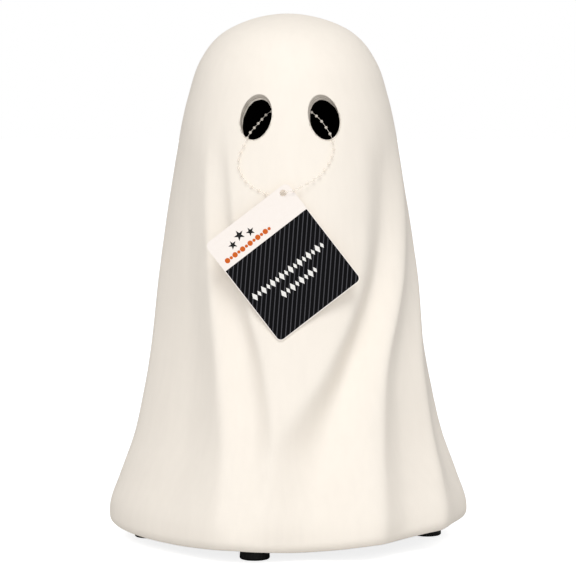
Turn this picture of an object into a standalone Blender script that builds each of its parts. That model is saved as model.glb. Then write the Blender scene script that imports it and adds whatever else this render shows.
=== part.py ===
"""A paper mache ghost about 29 cm tall, with a card tag hung from its eyes.

The ghost is one hollow shell of paper mache with folds in its skirt and two eye holes. A board
closes it just above the hem, and four rubber feet stand under the board. A beaded tie passes
through both eyes and carries the tag.

Units are metres and +Z is up. The ghost faces -Y, and the origin lies on the surface that it
stands on, under the middle of the body. An azimuth is in degrees from -Y, and grows towards +X.
"""

import math
from dataclasses import dataclass
from functools import lru_cache

import bmesh
import bpy
from mathutils import Matrix, Vector

MM = 0.001
UP = Vector((0.0, 0.0, 1.0))

# Gap kept between two pieces that touch
TOUCH_GAP = 0.3 * MM

# Body outline
CROWN_HEIGHT = 287.0 * MM
DOME_HEIGHT = 45.0 * MM
SHOULDER_RADIUS = 54.6 * MM
HEM_RADIUS = 100.0 * MM
HEM_HEIGHT = 7.0 * MM
LIP_RADIUS = 6.0 * MM

# The hem stands a little higher on one side, and hangs by this share of the folds' depth
HEM_LIFT = 3.5 * MM
HEM_LIFT_AZIMUTH = 62.0
HEM_LIFT_WIDTH = 26.0
HEM_SINK = 0.22

# Skirt, from the hem (0) to the shoulder (1): height, and how far the radius is to the hem's
SKIRT_OUTLINE = (
    (0.0, 1.0),
    (0.05, 0.995),
    (0.12, 0.869),
    (0.205, 0.708),
    (0.333, 0.557),
    (0.607, 0.356),
    (0.859, 0.15),
    (1.0, 0.0),
)

# Dome, from the crown (0) to the shoulder (1): drop, and share of the shoulder's radius
DOME_OUTLINE = ((0.0, 0.0), (0.222, 0.639), (0.556, 0.872), (1.0, 1.0))

# Walls
WALL = 4.5 * MM
HEM_WALL = 8.0 * MM

# Eye holes, seen from the front
EYE_WIDTH = 16.3 * MM
EYE_HEIGHT = 24.4 * MM
EYE_SPACING = 35.8 * MM
EYE_DROP = 54.8 * MM
EYE_MIDDLE_X = 1.0 * MM
EYE_LEAN = 15.7
CUT_SIDEWAYS = 12.0
CUT_DOWNWARDS = 33.0

# Board and feet
BOARD_BOTTOM = 12.0 * MM
BOARD_THICKNESS = 3.0 * MM
FOOT_DIAMETER = 16.0 * MM
FOOT_MARGIN = 5.0 * MM
FOOT_EDGE = 1.0 * MM
FOOT_TAPER = 0.6 * MM
FOOT_AZIMUTHS = {
    "foot_front": -13.5,
    "foot_right": 88.0,
    "foot_back": 174.0,
    "foot_left": -84.0,
}

# Card tag
TAG_WIDTH = 54.3 * MM
TAG_HEIGHT = 64.5 * MM
TAG_THICKNESS = 0.5 * MM
TAG_CORNER = 3.0 * MM
TAG_HOLE_DIAMETER = 3.5 * MM
TAG_HOLE_IN = 5.0 * MM
TAG_HOLE_DOWN = 3.5 * MM
TAG_TURN = 37.7
TAG_HANG = 39.9 * MM
TAG_HOLE_X = -2.5 * MM

# Beaded tie
BEAD_DIAMETER = 1.6 * MM
NECK_DIAMETER = 0.6 * MM
BEAD_PITCH = 4.25 * MM
TIE_CLEARANCE = 0.4 * MM
LOCK_DIAMETER = 4.4 * MM
LOCK_LENGTH = 5.0 * MM
TAIL_LENGTH = 11.0 * MM

# The tie's lock sits behind the bridge between the eyes: how deep, and how far above their middle
LOCK_DEPTH = 15.0 * MM
LOCK_RISE = 5.0 * MM

# Place of the lock among the points of the tie's route
LOCK_POINT = 13

# The tie leaves the tag's hole at this angle, and runs this far along the card
TIE_SLOPE = 13.0
TIE_RUN = 6.2 * MM

# How finely the round forms are divided
COLUMNS = 96
DOME_ROWS = 8
SKIRT_ROWS = 20
LIP_ROWS = 3
EYE_POINTS = 28
FOOT_STEPS = 24
CORNER_STEPS = 6
HOLE_STEPS = 16
ROUTE_STEPS = 40


@dataclass(frozen=True)
class Valley:
    """A fold of the skirt, between two ridges.

    The bottom is its place between the ridges, and softness how far their crests are rounded.
    A roundness of 2 eases its sides into the ridges. Shares are of the full depth at each level.
    """

    left: str
    right: str
    bottom: float
    softness: float
    roundness: int
    shares: tuple


# Depth that the valleys' shares are of, and how their sides curve from a bottom to a ridge
FOLD_DEPTH = 10.0 * MM
FOLD_CURVE = 1.8

# The ridges are rounder by this much at the hem, and less so up to this level
HEM_SOFTNESS = 0.1
HEM_SOFT_LEVEL = 0.2

# Heights at which the folds are stated, from the hem (0) to the shoulder (1)
FOLD_LEVELS = (0.0, 0.2, 0.4, 0.6, 0.8, 1.0)
FOLD_FADE_START = 0.82
FOLD_FADE_END = 0.97

# Azimuth of each ridge at the levels
RIDGES = {
    "left_side": (-84, -82, -81, -85, -90, -92),
    "left": (-22, -23, -29, -36, -43, -48),
    "belly_left": (-12, -6, -10, -21, -29, -36),
    "belly_right": (-18, -11, 14, 32, 38, 44),
    "right": (30, 36, 44, 62, 78, 86),
    "right_side": (56, 67, 72, 85, 95, 100),
    "right_back": (88, 92, 100, 110, 118, 124),
    "back_right": (150, 150, 152, 154, 156, 158),
    "back_left": (194, 196, 196, 198, 198, 200),
    "left_back": (238, 238, 238, 236, 234, 232),
}

VALLEYS = (
    Valley("left_side", "left", 0.6, 0.1, 1, (0.75, 0.95, 0.85, 0.6, 0.3, 0.0)),
    Valley("left", "belly_left", 0.6, 0.12, 1, (0.0, 0.45, 0.65, 0.45, 0.2, 0.0)),
    Valley("belly_right", "right", 0.5, 0.1, 2, (1.15, 1.3, 1.15, 0.75, 0.4, 0.0)),
    Valley("right", "right_side", 0.45, 0.08, 1, (0.7, 0.75, 0.55, 0.25, 0.05, 0.0)),
    Valley("right_side", "right_back", 0.5, 0.1, 1, (0.4, 0.4, 0.2, 0.05, 0.0, 0.0)),
    Valley("right_back", "back_right", 0.45, 0.1, 1, (0.6, 0.8, 0.6, 0.3, 0.1, 0.0)),
    Valley("back_right", "back_left", 0.5, 0.1, 1, (0.4, 0.55, 0.45, 0.25, 0.1, 0.0)),
    Valley("back_left", "left_back", 0.5, 0.1, 1, (0.4, 0.55, 0.45, 0.25, 0.1, 0.0)),
    Valley("left_back", "left_side", 0.5, 0.1, 1, (0.4, 0.45, 0.35, 0.2, 0.05, 0.0)),
)

# Colours
CREAM_PAINT = (0.92, 0.87, 0.78)
BLACK_RUBBER = (0.02, 0.02, 0.02)
DARK_BOARD = (0.05, 0.045, 0.04)
WHITE_CARD = (0.9, 0.88, 0.84)
CLEAR_NYLON = (0.85, 0.84, 0.8)


def smooth_through(stations, place):
    """Value at a place on the smooth curve through (place, value) stations in rising order."""
    places = [station[0] for station in stations]
    values = [station[1] for station in stations]
    last = len(stations) - 1
    place = min(max(place, places[0]), places[last])
    steps = [places[i + 1] - places[i] for i in range(last)]
    rates = [(values[i + 1] - values[i]) / steps[i] for i in range(last)]
    slopes = [rates[0]]
    for i in range(1, last):
        both = steps[i - 1] + steps[i]
        slopes.append((rates[i - 1] * steps[i] + rates[i] * steps[i - 1]) / both)
    slopes.append(rates[-1])
    i = 0
    while i < last - 1 and place > places[i + 1]:
        i += 1
    t = (place - places[i]) / steps[i]
    rise = t * t * (3.0 - 2.0 * t)
    bend = (t - 1.0) * (t - 1.0) * t * slopes[i] + t * t * (t - 1.0) * slopes[i + 1]
    return values[i] + rise * (values[i + 1] - values[i]) + bend * steps[i]


def shoulder_height():
    """Height of the dome's foot."""
    return CROWN_HEIGHT - DOME_HEIGHT


def skirt_share(height):
    """Place of a height between the hem, 0, and the shoulder, 1."""
    return (height - HEM_HEIGHT) / (shoulder_height() - HEM_HEIGHT)


def outline_stations():
    """Heights and squared radii of the body without folds, from the hem to the crown."""
    stations = []
    for share, flare in SKIRT_OUTLINE:
        height = HEM_HEIGHT + share * (shoulder_height() - HEM_HEIGHT)
        radius = SHOULDER_RADIUS + flare * (HEM_RADIUS - SHOULDER_RADIUS)
        stations.append((height, radius ** 2))
    for drop, share in reversed(DOME_OUTLINE[:-1]):
        stations.append((CROWN_HEIGHT - drop * DOME_HEIGHT, (share * SHOULDER_RADIUS) ** 2))
    return stations


OUTLINE = outline_stations()


@lru_cache(maxsize=None)
def valleys_at(height):
    """Each valley at a height: bottom's azimuth, reach each way, depth, softness, roundness."""
    level = skirt_share(height)
    fade = min(max((FOLD_FADE_END - level) / (FOLD_FADE_END - FOLD_FADE_START), 0.0), 1.0)
    faded = FOLD_DEPTH * fade * fade * (3.0 - 2.0 * fade)
    rounder = HEM_SOFTNESS * max(1.0 - level / HEM_SOFT_LEVEL, 0.0) ** 2
    valleys = []
    for valley in VALLEYS:
        left = smooth_through(tuple(zip(FOLD_LEVELS, RIDGES[valley.left])), level)
        right = smooth_through(tuple(zip(FOLD_LEVELS, RIDGES[valley.right])), level)
        share = max(smooth_through(tuple(zip(FOLD_LEVELS, valley.shares)), level), 0.0)
        width = (right - left) % 360.0
        reach = valley.bottom * width
        softness = valley.softness + rounder
        sides = (left + reach, reach, width - reach)
        valleys.append((*sides, share * faded, softness, valley.roundness))
    return valleys


def fold_depth(azimuth, height):
    """How far the folds bring the surface in at a place."""
    total = 0.0
    for bottom, left_reach, right_reach, depth, softness, roundness in valleys_at(height):
        away = (azimuth - bottom + 180.0) % 360.0 - 180.0
        reach = left_reach if away < 0.0 else right_reach
        under = 1.0 - (abs(away) / reach) ** FOLD_CURVE
        total += depth * (softness * math.log1p(math.exp(under / softness))) ** roundness
    return total


def shell_radius(azimuth, height):
    """Distance of the outer surface from the middle axis."""
    plain = math.sqrt(max(smooth_through(OUTLINE, height), 0.0))
    if height >= CROWN_HEIGHT:
        return 0.0
    return plain - fold_depth(azimuth, height)


def around(azimuth, radius, height):
    """Point at an azimuth, a distance from the middle axis and a height."""
    angle = math.radians(azimuth)
    return Vector((radius * math.sin(angle), -radius * math.cos(angle), height))


def shell_normal(azimuth, height):
    """Outward direction of the outer surface."""
    lift = 0.5 * MM
    swing = 0.5
    radius = shell_radius(azimuth, height)
    ahead = shell_radius(azimuth + swing, height)
    behind = shell_radius(azimuth - swing, height)
    turn = (ahead - behind) / math.radians(2.0 * swing)
    above = shell_radius(azimuth, height + lift)
    below = shell_radius(azimuth, height - lift)
    rise = (above ** 2 - below ** 2) / (4.0 * lift)
    outward = around(azimuth, 1.0, 0.0)
    sideways = around(azimuth + 90.0, 1.0, 0.0)
    return (outward * radius - sideways * turn - UP * rise).normalized()


def azimuth_of(point):
    """Azimuth of a point."""
    return math.degrees(math.atan2(point.x, -point.y))


def face_point(x, height, stand_off):
    """Point of the front surface seen at x and a height, moved outwards by a stand-off."""
    azimuth = 0.0
    for _ in range(8):
        radius = shell_radius(azimuth, height)
        azimuth = math.degrees(math.asin(max(-0.95, min(0.95, x / radius))))
    surface = around(azimuth, shell_radius(azimuth, height), height)
    return surface + shell_normal(azimuth, height) * stand_off


def hem_height(azimuth):
    """Height of the hem's lower edge."""
    away = (azimuth - HEM_LIFT_AZIMUTH + 180.0) % 360.0 - 180.0
    lift = HEM_LIFT * math.exp(-0.5 * (away / HEM_LIFT_WIDTH) ** 2)
    return HEM_HEIGHT + lift - HEM_SINK * fold_depth(azimuth, HEM_HEIGHT)


def lip_top(azimuth):
    """Height at which the hem starts to curl under."""
    return hem_height(azimuth) + LIP_RADIUS


def seat_radius(azimuth):
    """Distance from the axis to the hem's inner wall, which the board fits."""
    return shell_radius(azimuth, BOARD_BOTTOM) - HEM_WALL


def column_azimuths():
    """Azimuths of the shell's columns."""
    return [360.0 * column / COLUMNS for column in range(COLUMNS)]


def dome_heights(rows):
    """Heights of the dome's rings below the crown, evenly round its curve."""
    foot = shoulder_height()
    return [foot + DOME_HEIGHT * math.cos(math.pi / 2.0 * row / rows) for row in range(1, rows + 1)]


def outer_rings():
    """Rings of the outer surface, from under the crown to the hem's lower edge."""
    azimuths = column_azimuths()
    rings = [
        [around(a, shell_radius(a, height), height) for a in azimuths]
        for height in dome_heights(DOME_ROWS)
    ]
    foot = shoulder_height()
    for row in range(1, SKIRT_ROWS + 1):
        share = row / SKIRT_ROWS
        heights = [foot + share * (lip_top(a) - foot) for a in azimuths]
        rings.append([around(a, shell_radius(a, h), h) for a, h in zip(azimuths, heights)])
    for row in range(1, LIP_ROWS + 1):
        angle = math.pi / 2.0 * row / LIP_ROWS
        inset = LIP_RADIUS * (1.0 - math.cos(angle))
        drop = LIP_RADIUS * math.sin(angle)
        rings.append(
            [around(a, shell_radius(a, lip_top(a)) - inset, lip_top(a) - drop) for a in azimuths]
        )
    return rings


def cavity_rings():
    """Rings of the hollow: a wall's thickness inside the skin, and the board's seat below it."""
    azimuths = column_azimuths()
    seat_top = BOARD_BOTTOM + BOARD_THICKNESS + TOUCH_GAP
    low = seat_top + 2.0 * HEM_WALL
    foot = shoulder_height()
    rows = SKIRT_ROWS // 2
    heights = dome_heights(DOME_ROWS)
    heights += [foot + row / rows * (low - foot) for row in range(1, rows + 1)]
    rings = []
    for height in heights:
        ring = []
        for a in azimuths:
            skin = around(a, shell_radius(a, height), height)
            ring.append(skin - shell_normal(a, height) * WALL)
        rings.append(ring)
    for height in (seat_top, -HEM_HEIGHT):
        rings.append([around(a, seat_radius(a), height) for a in azimuths])
    return rings


def new_collection(name, hidden):
    """Add a collection to the scene."""
    collection = bpy.data.collections.new(name)
    collection.hide_render = hidden
    bpy.context.scene.collection.children.link(collection)
    return collection


def new_material(name, color, roughness):
    """Make a material of one colour."""
    material = bpy.data.materials.new(name)
    material.use_nodes = True
    shader = material.node_tree.nodes["Principled BSDF"]
    shader.inputs["Base Color"].default_value = (*color, 1.0)
    shader.inputs["Roughness"].default_value = roughness
    return material


def new_object(name, data, collection, material=None):
    """Add an object that shows a mesh or a curve."""
    item = bpy.data.objects.new(name, data)
    collection.objects.link(item)
    if material is not None:
        data.materials.append(material)
    return item


def as_cutter(item):
    """Show an object as a wire and keep it out of renders."""
    item.hide_render = True
    item.display_type = "WIRE"
    return item


def loft(name, rings, top, bottom):
    """Closed mesh through rings of points, from a top point down to a bottom point."""
    mesh = bmesh.new()
    rows = [[mesh.verts.new(point) for point in ring] for ring in rings]
    count = len(rings[0])
    top_vertex = mesh.verts.new(top)
    bottom_vertex = mesh.verts.new(bottom)
    for i in range(count):
        j = (i + 1) % count
        mesh.faces.new((top_vertex, rows[0][i], rows[0][j]))
        for upper, lower in zip(rows, rows[1:]):
            mesh.faces.new((upper[i], lower[i], lower[j], upper[j]))
        mesh.faces.new((bottom_vertex, rows[-1][j], rows[-1][i]))
    bmesh.ops.recalc_face_normals(mesh, faces=mesh.faces)
    data = bpy.data.meshes.new(name)
    mesh.to_mesh(data)
    mesh.free()
    return data


def add_boolean(item, other, operation):
    """Cut another object from an object, or join it on."""
    modifier = item.modifiers.new(other.name, "BOOLEAN")
    modifier.operation = operation
    modifier.solver = "EXACT"
    modifier.object = other


def curve_to_mesh(item, collection):
    """Replace a curve object by a mesh with welded caps, and return the new object."""
    evaluated = item.evaluated_get(bpy.context.evaluated_depsgraph_get())
    data = bpy.data.meshes.new_from_object(evaluated)
    mesh = bmesh.new()
    mesh.from_mesh(data)
    bmesh.ops.remove_doubles(mesh, verts=mesh.verts, dist=0.00001)
    bmesh.ops.recalc_face_normals(mesh, faces=mesh.faces)
    mesh.to_mesh(data)
    mesh.free()
    name = item.name
    place = item.matrix_world.copy()
    bpy.data.objects.remove(item)
    data.name = name
    result = bpy.data.objects.new(name, data)
    result.matrix_world = place
    collection.objects.link(result)
    return result


def eye_centre(side):
    """Middle of an eye seen from the front, as x and height: side is -1 left or +1 right."""
    return EYE_MIDDLE_X + side * EYE_SPACING / 2.0, CROWN_HEIGHT - EYE_DROP


def cut_direction():
    """Direction of the knife that cut both eyes, going in."""
    sideways = math.tan(math.radians(CUT_SIDEWAYS))
    downwards = math.tan(math.radians(CUT_DOWNWARDS))
    return Vector((sideways, 1.0, -downwards)).normalized()


def eye_cutter(name, side, collection):
    """A slanted plug of the eye's outline, which leans in at the top."""
    centre_x, centre_z = eye_centre(side)
    lean = math.radians(side * EYE_LEAN)
    outline = []
    for step in range(EYE_POINTS):
        angle = 2.0 * math.pi * step / EYE_POINTS
        across = EYE_WIDTH / 2.0 * math.cos(angle)
        along = EYE_HEIGHT / 2.0 * math.sin(angle)
        x = centre_x + across * math.cos(lean) - along * math.sin(lean)
        z = centre_z + across * math.sin(lean) + along * math.cos(lean)
        outline.append(face_point(x, z, 0.0))
    direction = cut_direction()
    outside = [point - direction * WALL for point in outline]
    inside = [point + direction * 3.0 * WALL for point in outline]
    top = sum(outside, Vector()) / EYE_POINTS
    bottom = sum(inside, Vector()) / EYE_POINTS
    return as_cutter(new_object(name, loft(name, [outside, inside], top, bottom), collection))


def build_shell(collection, cutters):
    """The one-piece shell, hollow, with its eyes cut through."""
    outer = loft(
        "paper_shell",
        outer_rings(),
        Vector((0.0, 0.0, CROWN_HEIGHT)),
        Vector((0.0, 0.0, HEM_HEIGHT)),
    )
    shell = new_object("paper_shell", outer, collection, new_material("cream paint", CREAM_PAINT, 0.85))
    hollow = loft(
        "hollow",
        cavity_rings(),
        Vector((0.0, 0.0, CROWN_HEIGHT - WALL)),
        Vector((0.0, 0.0, -HEM_HEIGHT)),
    )
    add_boolean(shell, as_cutter(new_object("hollow", hollow, cutters)), "DIFFERENCE")
    for name, side in (("left_eye", -1), ("right_eye", 1)):
        add_boolean(shell, eye_cutter(name, side, cutters), "DIFFERENCE")
    return shell


def flat_curve(name, outlines, thickness):
    """A flat plate with the first outline as its edge and the others as holes."""
    curve = bpy.data.curves.new(name, "CURVE")
    curve.dimensions = "2D"
    curve.fill_mode = "BOTH"
    curve.extrude = thickness / 2.0
    for outline in outlines:
        spline = curve.splines.new("POLY")
        spline.points.add(len(outline) - 1)
        for point, (x, y) in zip(spline.points, outline):
            point.co = (x, y, 0.0, 1.0)
        spline.use_cyclic_u = True
    return curve


def build_board(collection):
    """The board that closes the shell, cut to the hem's inner outline."""
    outline = []
    for azimuth in column_azimuths():
        point = around(azimuth, seat_radius(azimuth) - TOUCH_GAP, 0.0)
        outline.append((point.x, point.y))
    curve = flat_curve("base_board", [outline], BOARD_THICKNESS)
    board = new_object("base_board", curve, collection, new_material("board", DARK_BOARD, 0.9))
    board.location = (0.0, 0.0, BOARD_BOTTOM + BOARD_THICKNESS / 2.0)
    return board


def foot_mesh():
    """Half section of a rubber foot, from the top's middle down its outer side."""
    height = BOARD_BOTTOM - TOUCH_GAP
    radius = FOOT_DIAMETER / 2.0
    rounded = FOOT_EDGE * (1.0 - math.sqrt(0.5))
    profile = [(0.0, height), (radius - FOOT_TAPER, height), (radius, FOOT_EDGE)]
    profile += [(radius - rounded, rounded), (radius - FOOT_EDGE, 0.0), (0.0, 0.0)]
    data = bpy.data.meshes.new("rubber_foot")
    edges = [(i, i + 1) for i in range(len(profile) - 1)]
    data.from_pydata([(x, 0.0, z) for x, z in profile], edges, [])
    return data


def foot_place(azimuth):
    """Middle of a foot on the ground, a margin inside the nearest part of the board's edge."""
    reach = math.degrees(FOOT_DIAMETER / 2.0 / seat_radius(azimuth))
    edge = min(seat_radius(azimuth + side * reach) for side in (-1, 0, 1))
    return around(azimuth, edge - FOOT_MARGIN - FOOT_DIAMETER / 2.0, 0.0)


def build_feet(collection):
    """Four turned rubber feet under the board."""
    data = foot_mesh()
    data.materials.append(new_material("black rubber", BLACK_RUBBER, 0.6))
    for name, azimuth in FOOT_AZIMUTHS.items():
        foot = new_object(name, data, collection)
        foot.location = foot_place(azimuth)
        screw = foot.modifiers.new("turn", "SCREW")
        screw.steps = FOOT_STEPS
        screw.render_steps = FOOT_STEPS
        screw.use_merge_vertices = True
        screw.merge_threshold = 0.00001


def tag_corners():
    """Card's left, right, bottom and top edges, measured from its hole."""
    right = TAG_HOLE_IN
    top = TAG_HOLE_DOWN
    return right - TAG_WIDTH, right, top - TAG_HEIGHT, top


def tag_axes(lean):
    """Unit axes of the card for a lean from upright: its width, its height and out of its face."""
    turn = math.radians(TAG_TURN)
    out = Vector((0.0, -math.cos(lean), math.sin(lean)))
    rise = Vector((0.0, math.sin(lean), math.cos(lean)))
    across = Vector((1.0, 0.0, 0.0))
    width = across * math.cos(turn) + rise * math.sin(turn)
    height = rise * math.cos(turn) - across * math.sin(turn)
    return width, height, out


def tag_hole():
    """Centre of the card's hole, held off the face by the tie that passes behind the card."""
    stand_off = 2.0 * TIE_CLEARANCE + BEAD_DIAMETER + TAG_THICKNESS / 2.0
    return face_point(TAG_HOLE_X, eye_centre(1)[1] - TAG_HANG, stand_off)


def tag_is_clear(lean):
    """Whether the card's back stays clear of the belly at a lean."""
    width, height, out = tag_axes(lean)
    left, right, bottom, top = tag_corners()
    steps = 12
    back = tag_hole() - out * (TAG_THICKNESS / 2.0)
    for i in range(steps + 1):
        for j in range(steps + 1):
            across = left + (right - left) * i / steps
            along = bottom + (top - bottom) * j / steps
            point = back + width * across + height * along
            reach = math.hypot(point.x, point.y)
            if reach < shell_radius(azimuth_of(point), point.z) + TOUCH_GAP:
                return False
    return True


def tag_lean():
    """The smallest lean from upright at which the hanging card meets the belly."""
    low = 0.0
    high = math.radians(30.0)
    for _ in range(14):
        middle = (low + high) / 2.0
        if tag_is_clear(middle):
            high = middle
        else:
            low = middle
    return high


def rounded_rectangle(left, right, bottom, top, corner):
    """Outline of a rectangle with round corners, anticlockwise."""
    centres = (
        (right - corner, bottom + corner, -90.0),
        (right - corner, top - corner, 0.0),
        (left + corner, top - corner, 90.0),
        (left + corner, bottom + corner, 180.0),
    )
    outline = []
    for x, y, start in centres:
        for step in range(CORNER_STEPS + 1):
            angle = math.radians(start + 90.0 * step / CORNER_STEPS)
            outline.append((x + corner * math.cos(angle), y + corner * math.sin(angle)))
    return outline


def circle(radius, steps):
    """Points round a circle."""
    angles = [2.0 * math.pi * step / steps for step in range(steps)]
    return [(radius * math.cos(angle), radius * math.sin(angle)) for angle in angles]


def build_tag(collection, lean):
    """The card tag, with its origin at its hole, leaning on the belly."""
    left, right, bottom, top = tag_corners()
    outline = rounded_rectangle(left, right, bottom, top, TAG_CORNER)
    hole = circle(TAG_HOLE_DIAMETER / 2.0, HOLE_STEPS)
    curve = flat_curve("hang_tag", [outline, hole], TAG_THICKNESS)
    tag = new_object("hang_tag", curve, collection, new_material("card", WHITE_CARD, 0.4))
    width, height, out = tag_axes(lean)
    turned = Matrix((width, height, out)).transposed().to_4x4()
    tag.matrix_world = Matrix.Translation(tag_hole()) @ turned
    return tag


def tie_route(lean):
    """Points that the tie passes, starting at the tag's hole and going to the right.

    In front it rests on the face. At each eye it turns in over the lower rim, and the two ends
    meet behind the bridge between the eyes. The lock is at LOCK_POINT.
    """
    hole = tag_hole()
    out = tag_axes(lean)[2]
    slope = math.radians(TIE_SLOPE)
    across = Vector((math.cos(slope), 0.0, math.sin(slope)))
    off_card = BEAD_DIAMETER / 2.0 + TAG_THICKNESS / 2.0 + TIE_CLEARANCE
    on_face = BEAD_DIAMETER / 2.0 + TIE_CLEARANCE
    step_in = across * (0.4 * TAG_HOLE_DIAMETER) + out * off_card
    beside = across * TIE_RUN

    def beside_eye(side, dx, dz, depth):
        """A point off an eye's middle by half widths, half heights and walls of depth."""
        x, z = eye_centre(side)
        skin = face_point(x + dx * EYE_WIDTH / 2.0, z + dz * EYE_HEIGHT / 2.0, 0.0)
        return skin + Vector((0.0, depth * WALL, 0.0))

    def beside_hole(dx, dz, stand_off):
        """A point on the face off the tag's hole, by shares of how far the tag hangs."""
        return face_point(hole.x + dx * TAG_HANG, hole.z + dz * TAG_HANG, stand_off)

    lock = beside_eye(1, 0.0, 0.0, 0.0)
    lock = Vector((EYE_MIDDLE_X, lock.y + LOCK_DEPTH, lock.z + LOCK_RISE))
    return [
        hole,
        hole + step_in,
        hole + beside + out * off_card,
        beside_hole(0.434, 0.19, on_face + 0.6 * BEAD_DIAMETER),
        beside_hole(0.574, 0.336, on_face),
        beside_hole(0.657, 0.526, on_face),
        beside_eye(1, 0.601, -1.1, -0.333),
        beside_eye(1, 0.479, -0.836, -0.289),
        beside_eye(1, 0.196, -0.508, 0.178),
        beside_eye(1, -0.0982, -0.23, 0.578),
        beside_eye(1, -0.454, 0.0164, 1.02),
        beside_eye(1, -0.834, 0.197, 1.82),
        lock + Vector((1.0, -0.4, -0.24)) * LOCK_LENGTH,
        lock,
        lock + Vector((-1.1, 0.12, -0.24)) * LOCK_LENGTH,
        beside_eye(-1, 0.81, 0.148, 3.33),
        beside_eye(-1, 0.368, -0.131, 2.36),
        beside_eye(-1, 0.123, -0.311, 1.6),
        beside_eye(-1, -0.123, -0.484, 0.933),
        beside_eye(-1, -0.356, -0.664, 0.311),
        beside_eye(-1, -0.54, -0.869, -0.289),
        beside_eye(-1, -0.736, -1.15, -0.356),
        beside_hole(-0.566, 0.476, on_face),
        beside_hole(-0.571, 0.288, on_face),
        beside_hole(-0.439, 0.1, on_face),
        hole - beside - out * off_card,
        hole - step_in,
    ]


def closed_curve(points, steps):
    """Smooth closed line through points, with a number of short steps between each two."""
    count = len(points)
    line = []
    for i in range(count):
        before, start, end, after = (points[(i + k - 1) % count] for k in range(4))
        span = (end - start).length
        leave = (end - before) * (span / ((start - before).length + span))
        arrive = (after - start) * (span / (span + (after - end).length))
        for step in range(steps):
            t = step / steps
            place = start.lerp(end, t * t * (3.0 - 2.0 * t))
            bend = leave * (t * (1.0 - t) ** 2) - arrive * (t * t * (1.0 - t))
            line.append(place + bend)
    return line


def point_along(line, distances, total, distance):
    """Point of a closed line at a distance along it."""
    distance %= total
    low = 0
    high = len(line)
    while high - low > 1:
        middle = (low + high) // 2
        if distances[middle] <= distance:
            low = middle
        else:
            high = middle
    share = (distance - distances[low]) / (distances[low + 1] - distances[low])
    return line[low].lerp(line[(low + 1) % len(line)], share)


def bead_stations(first, count, pitch):
    """Distances along a strand and radii there, for beads half a pitch from each neck's middle."""
    bead = BEAD_DIAMETER / 2.0
    neck = NECK_DIAMETER / 2.0
    stations = []
    for k in range(count):
        middle = first + (k + 0.5) * pitch
        for share in (-0.92, -0.6, 0.0, 0.6, 0.92):
            radius = max(neck, bead * math.sqrt(1.0 - share * share))
            stations.append((middle + share * bead, radius))
    return stations


def strand_curve(name, points, radii, closed):
    """A round strand along points, with a radius at each."""
    curve = bpy.data.curves.new(name, "CURVE")
    curve.dimensions = "3D"
    curve.bevel_depth = BEAD_DIAMETER / 2.0
    curve.bevel_resolution = 2
    curve.use_fill_caps = not closed
    spline = curve.splines.new("POLY")
    spline.points.add(len(points) - 1)
    for control, point, radius in zip(spline.points, points, radii):
        control.co = (*point, 1.0)
        control.radius = radius / (BEAD_DIAMETER / 2.0)
    spline.use_cyclic_u = closed
    return curve


def build_tie(collection, cutters, lean):
    """The beaded tie: a closed loop of beads, its lock and the short tail that leaves the lock."""
    line = closed_curve(tie_route(lean), ROUTE_STEPS)
    distances = [0.0]
    for start, end in zip(line, line[1:] + line[:1]):
        distances.append(distances[-1] + (end - start).length)
    total = distances[-1]
    count = round(total / BEAD_PITCH)
    stations = bead_stations(0.0, count, total / count)
    points = [point_along(line, distances, total, distance) for distance, _ in stations]
    radii = [radius for _, radius in stations]
    loop = new_object("beaded_tie", strand_curve("beaded_tie", points, radii, True), collection)
    tie = curve_to_mesh(loop, collection)
    tie.data.materials.append(new_material("nylon", CLEAR_NYLON, 0.35))

    lock_distance = distances[LOCK_POINT * ROUTE_STEPS]
    lock_centre = point_along(line, distances, total, lock_distance)
    ahead = point_along(line, distances, total, lock_distance + LOCK_LENGTH / 4.0)
    direction = (ahead - lock_centre).normalized()
    body = bmesh.new()
    bmesh.ops.create_cone(
        body,
        cap_ends=True,
        segments=12,
        radius1=LOCK_DIAMETER / 2.0,
        radius2=LOCK_DIAMETER / 2.0,
        depth=LOCK_LENGTH,
    )
    data = bpy.data.meshes.new("tie_lock")
    body.to_mesh(data)
    body.free()
    lock = as_cutter(new_object("tie_lock", data, cutters))
    lock.rotation_mode = "QUATERNION"
    lock.rotation_quaternion = direction.to_track_quat("Z", "Y")
    lock.location = lock_centre
    add_boolean(tie, lock, "UNION")

    inward = Vector((0.0, 1.0, -0.3)).normalized()
    heading = (direction + inward * 0.8).normalized()
    start = lock_centre + inward * (LOCK_DIAMETER / 4.0)
    tail_stations = [(0.0, NECK_DIAMETER / 2.0)] + bead_stations(BEAD_PITCH / 2.0, 2, BEAD_PITCH)
    tail_stations.append((TAIL_LENGTH, NECK_DIAMETER / 2.0))
    tail_points = [start + heading * distance for distance, _ in tail_stations]
    tail_radii = [radius for _, radius in tail_stations]
    strand = new_object("tie_tail", strand_curve("tie_tail", tail_points, tail_radii, False), cutters)
    tail = as_cutter(curve_to_mesh(strand, cutters))
    add_boolean(tie, tail, "UNION")
    return tie


def shade_round(item):
    """Shade an object smooth, with its sharper edges kept."""
    if item.type == "MESH":
        item.data.shade_smooth()
        item.data.set_sharp_from_angle(angle=math.radians(40.0))


def main():
    """Clear the scene and build the ghost."""
    for item in list(bpy.data.objects):
        bpy.data.objects.remove(item)
    ghost = new_collection("paper_mache_ghost", False)
    cutters = new_collection("cutters", True)
    lean = tag_lean()
    build_shell(ghost, cutters)
    build_board(ghost)
    build_feet(ghost)
    build_tag(ghost, lean)
    build_tie(ghost, cutters, lean)
    for item in ghost.objects:
        shade_round(item)


main()
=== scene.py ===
"""Looks of a paper mache ghost: painted shell, eye rims, base board, rubber feet, tag and tie.

Units are metres and +Z is up. The ghost faces -Y, and the origin lies on the floor under the
middle of its body. An azimuth is in degrees from -Y, and grows towards +X.
"""

import logging
import math
from dataclasses import dataclass, field
from enum import Enum
from functools import cached_property

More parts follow.
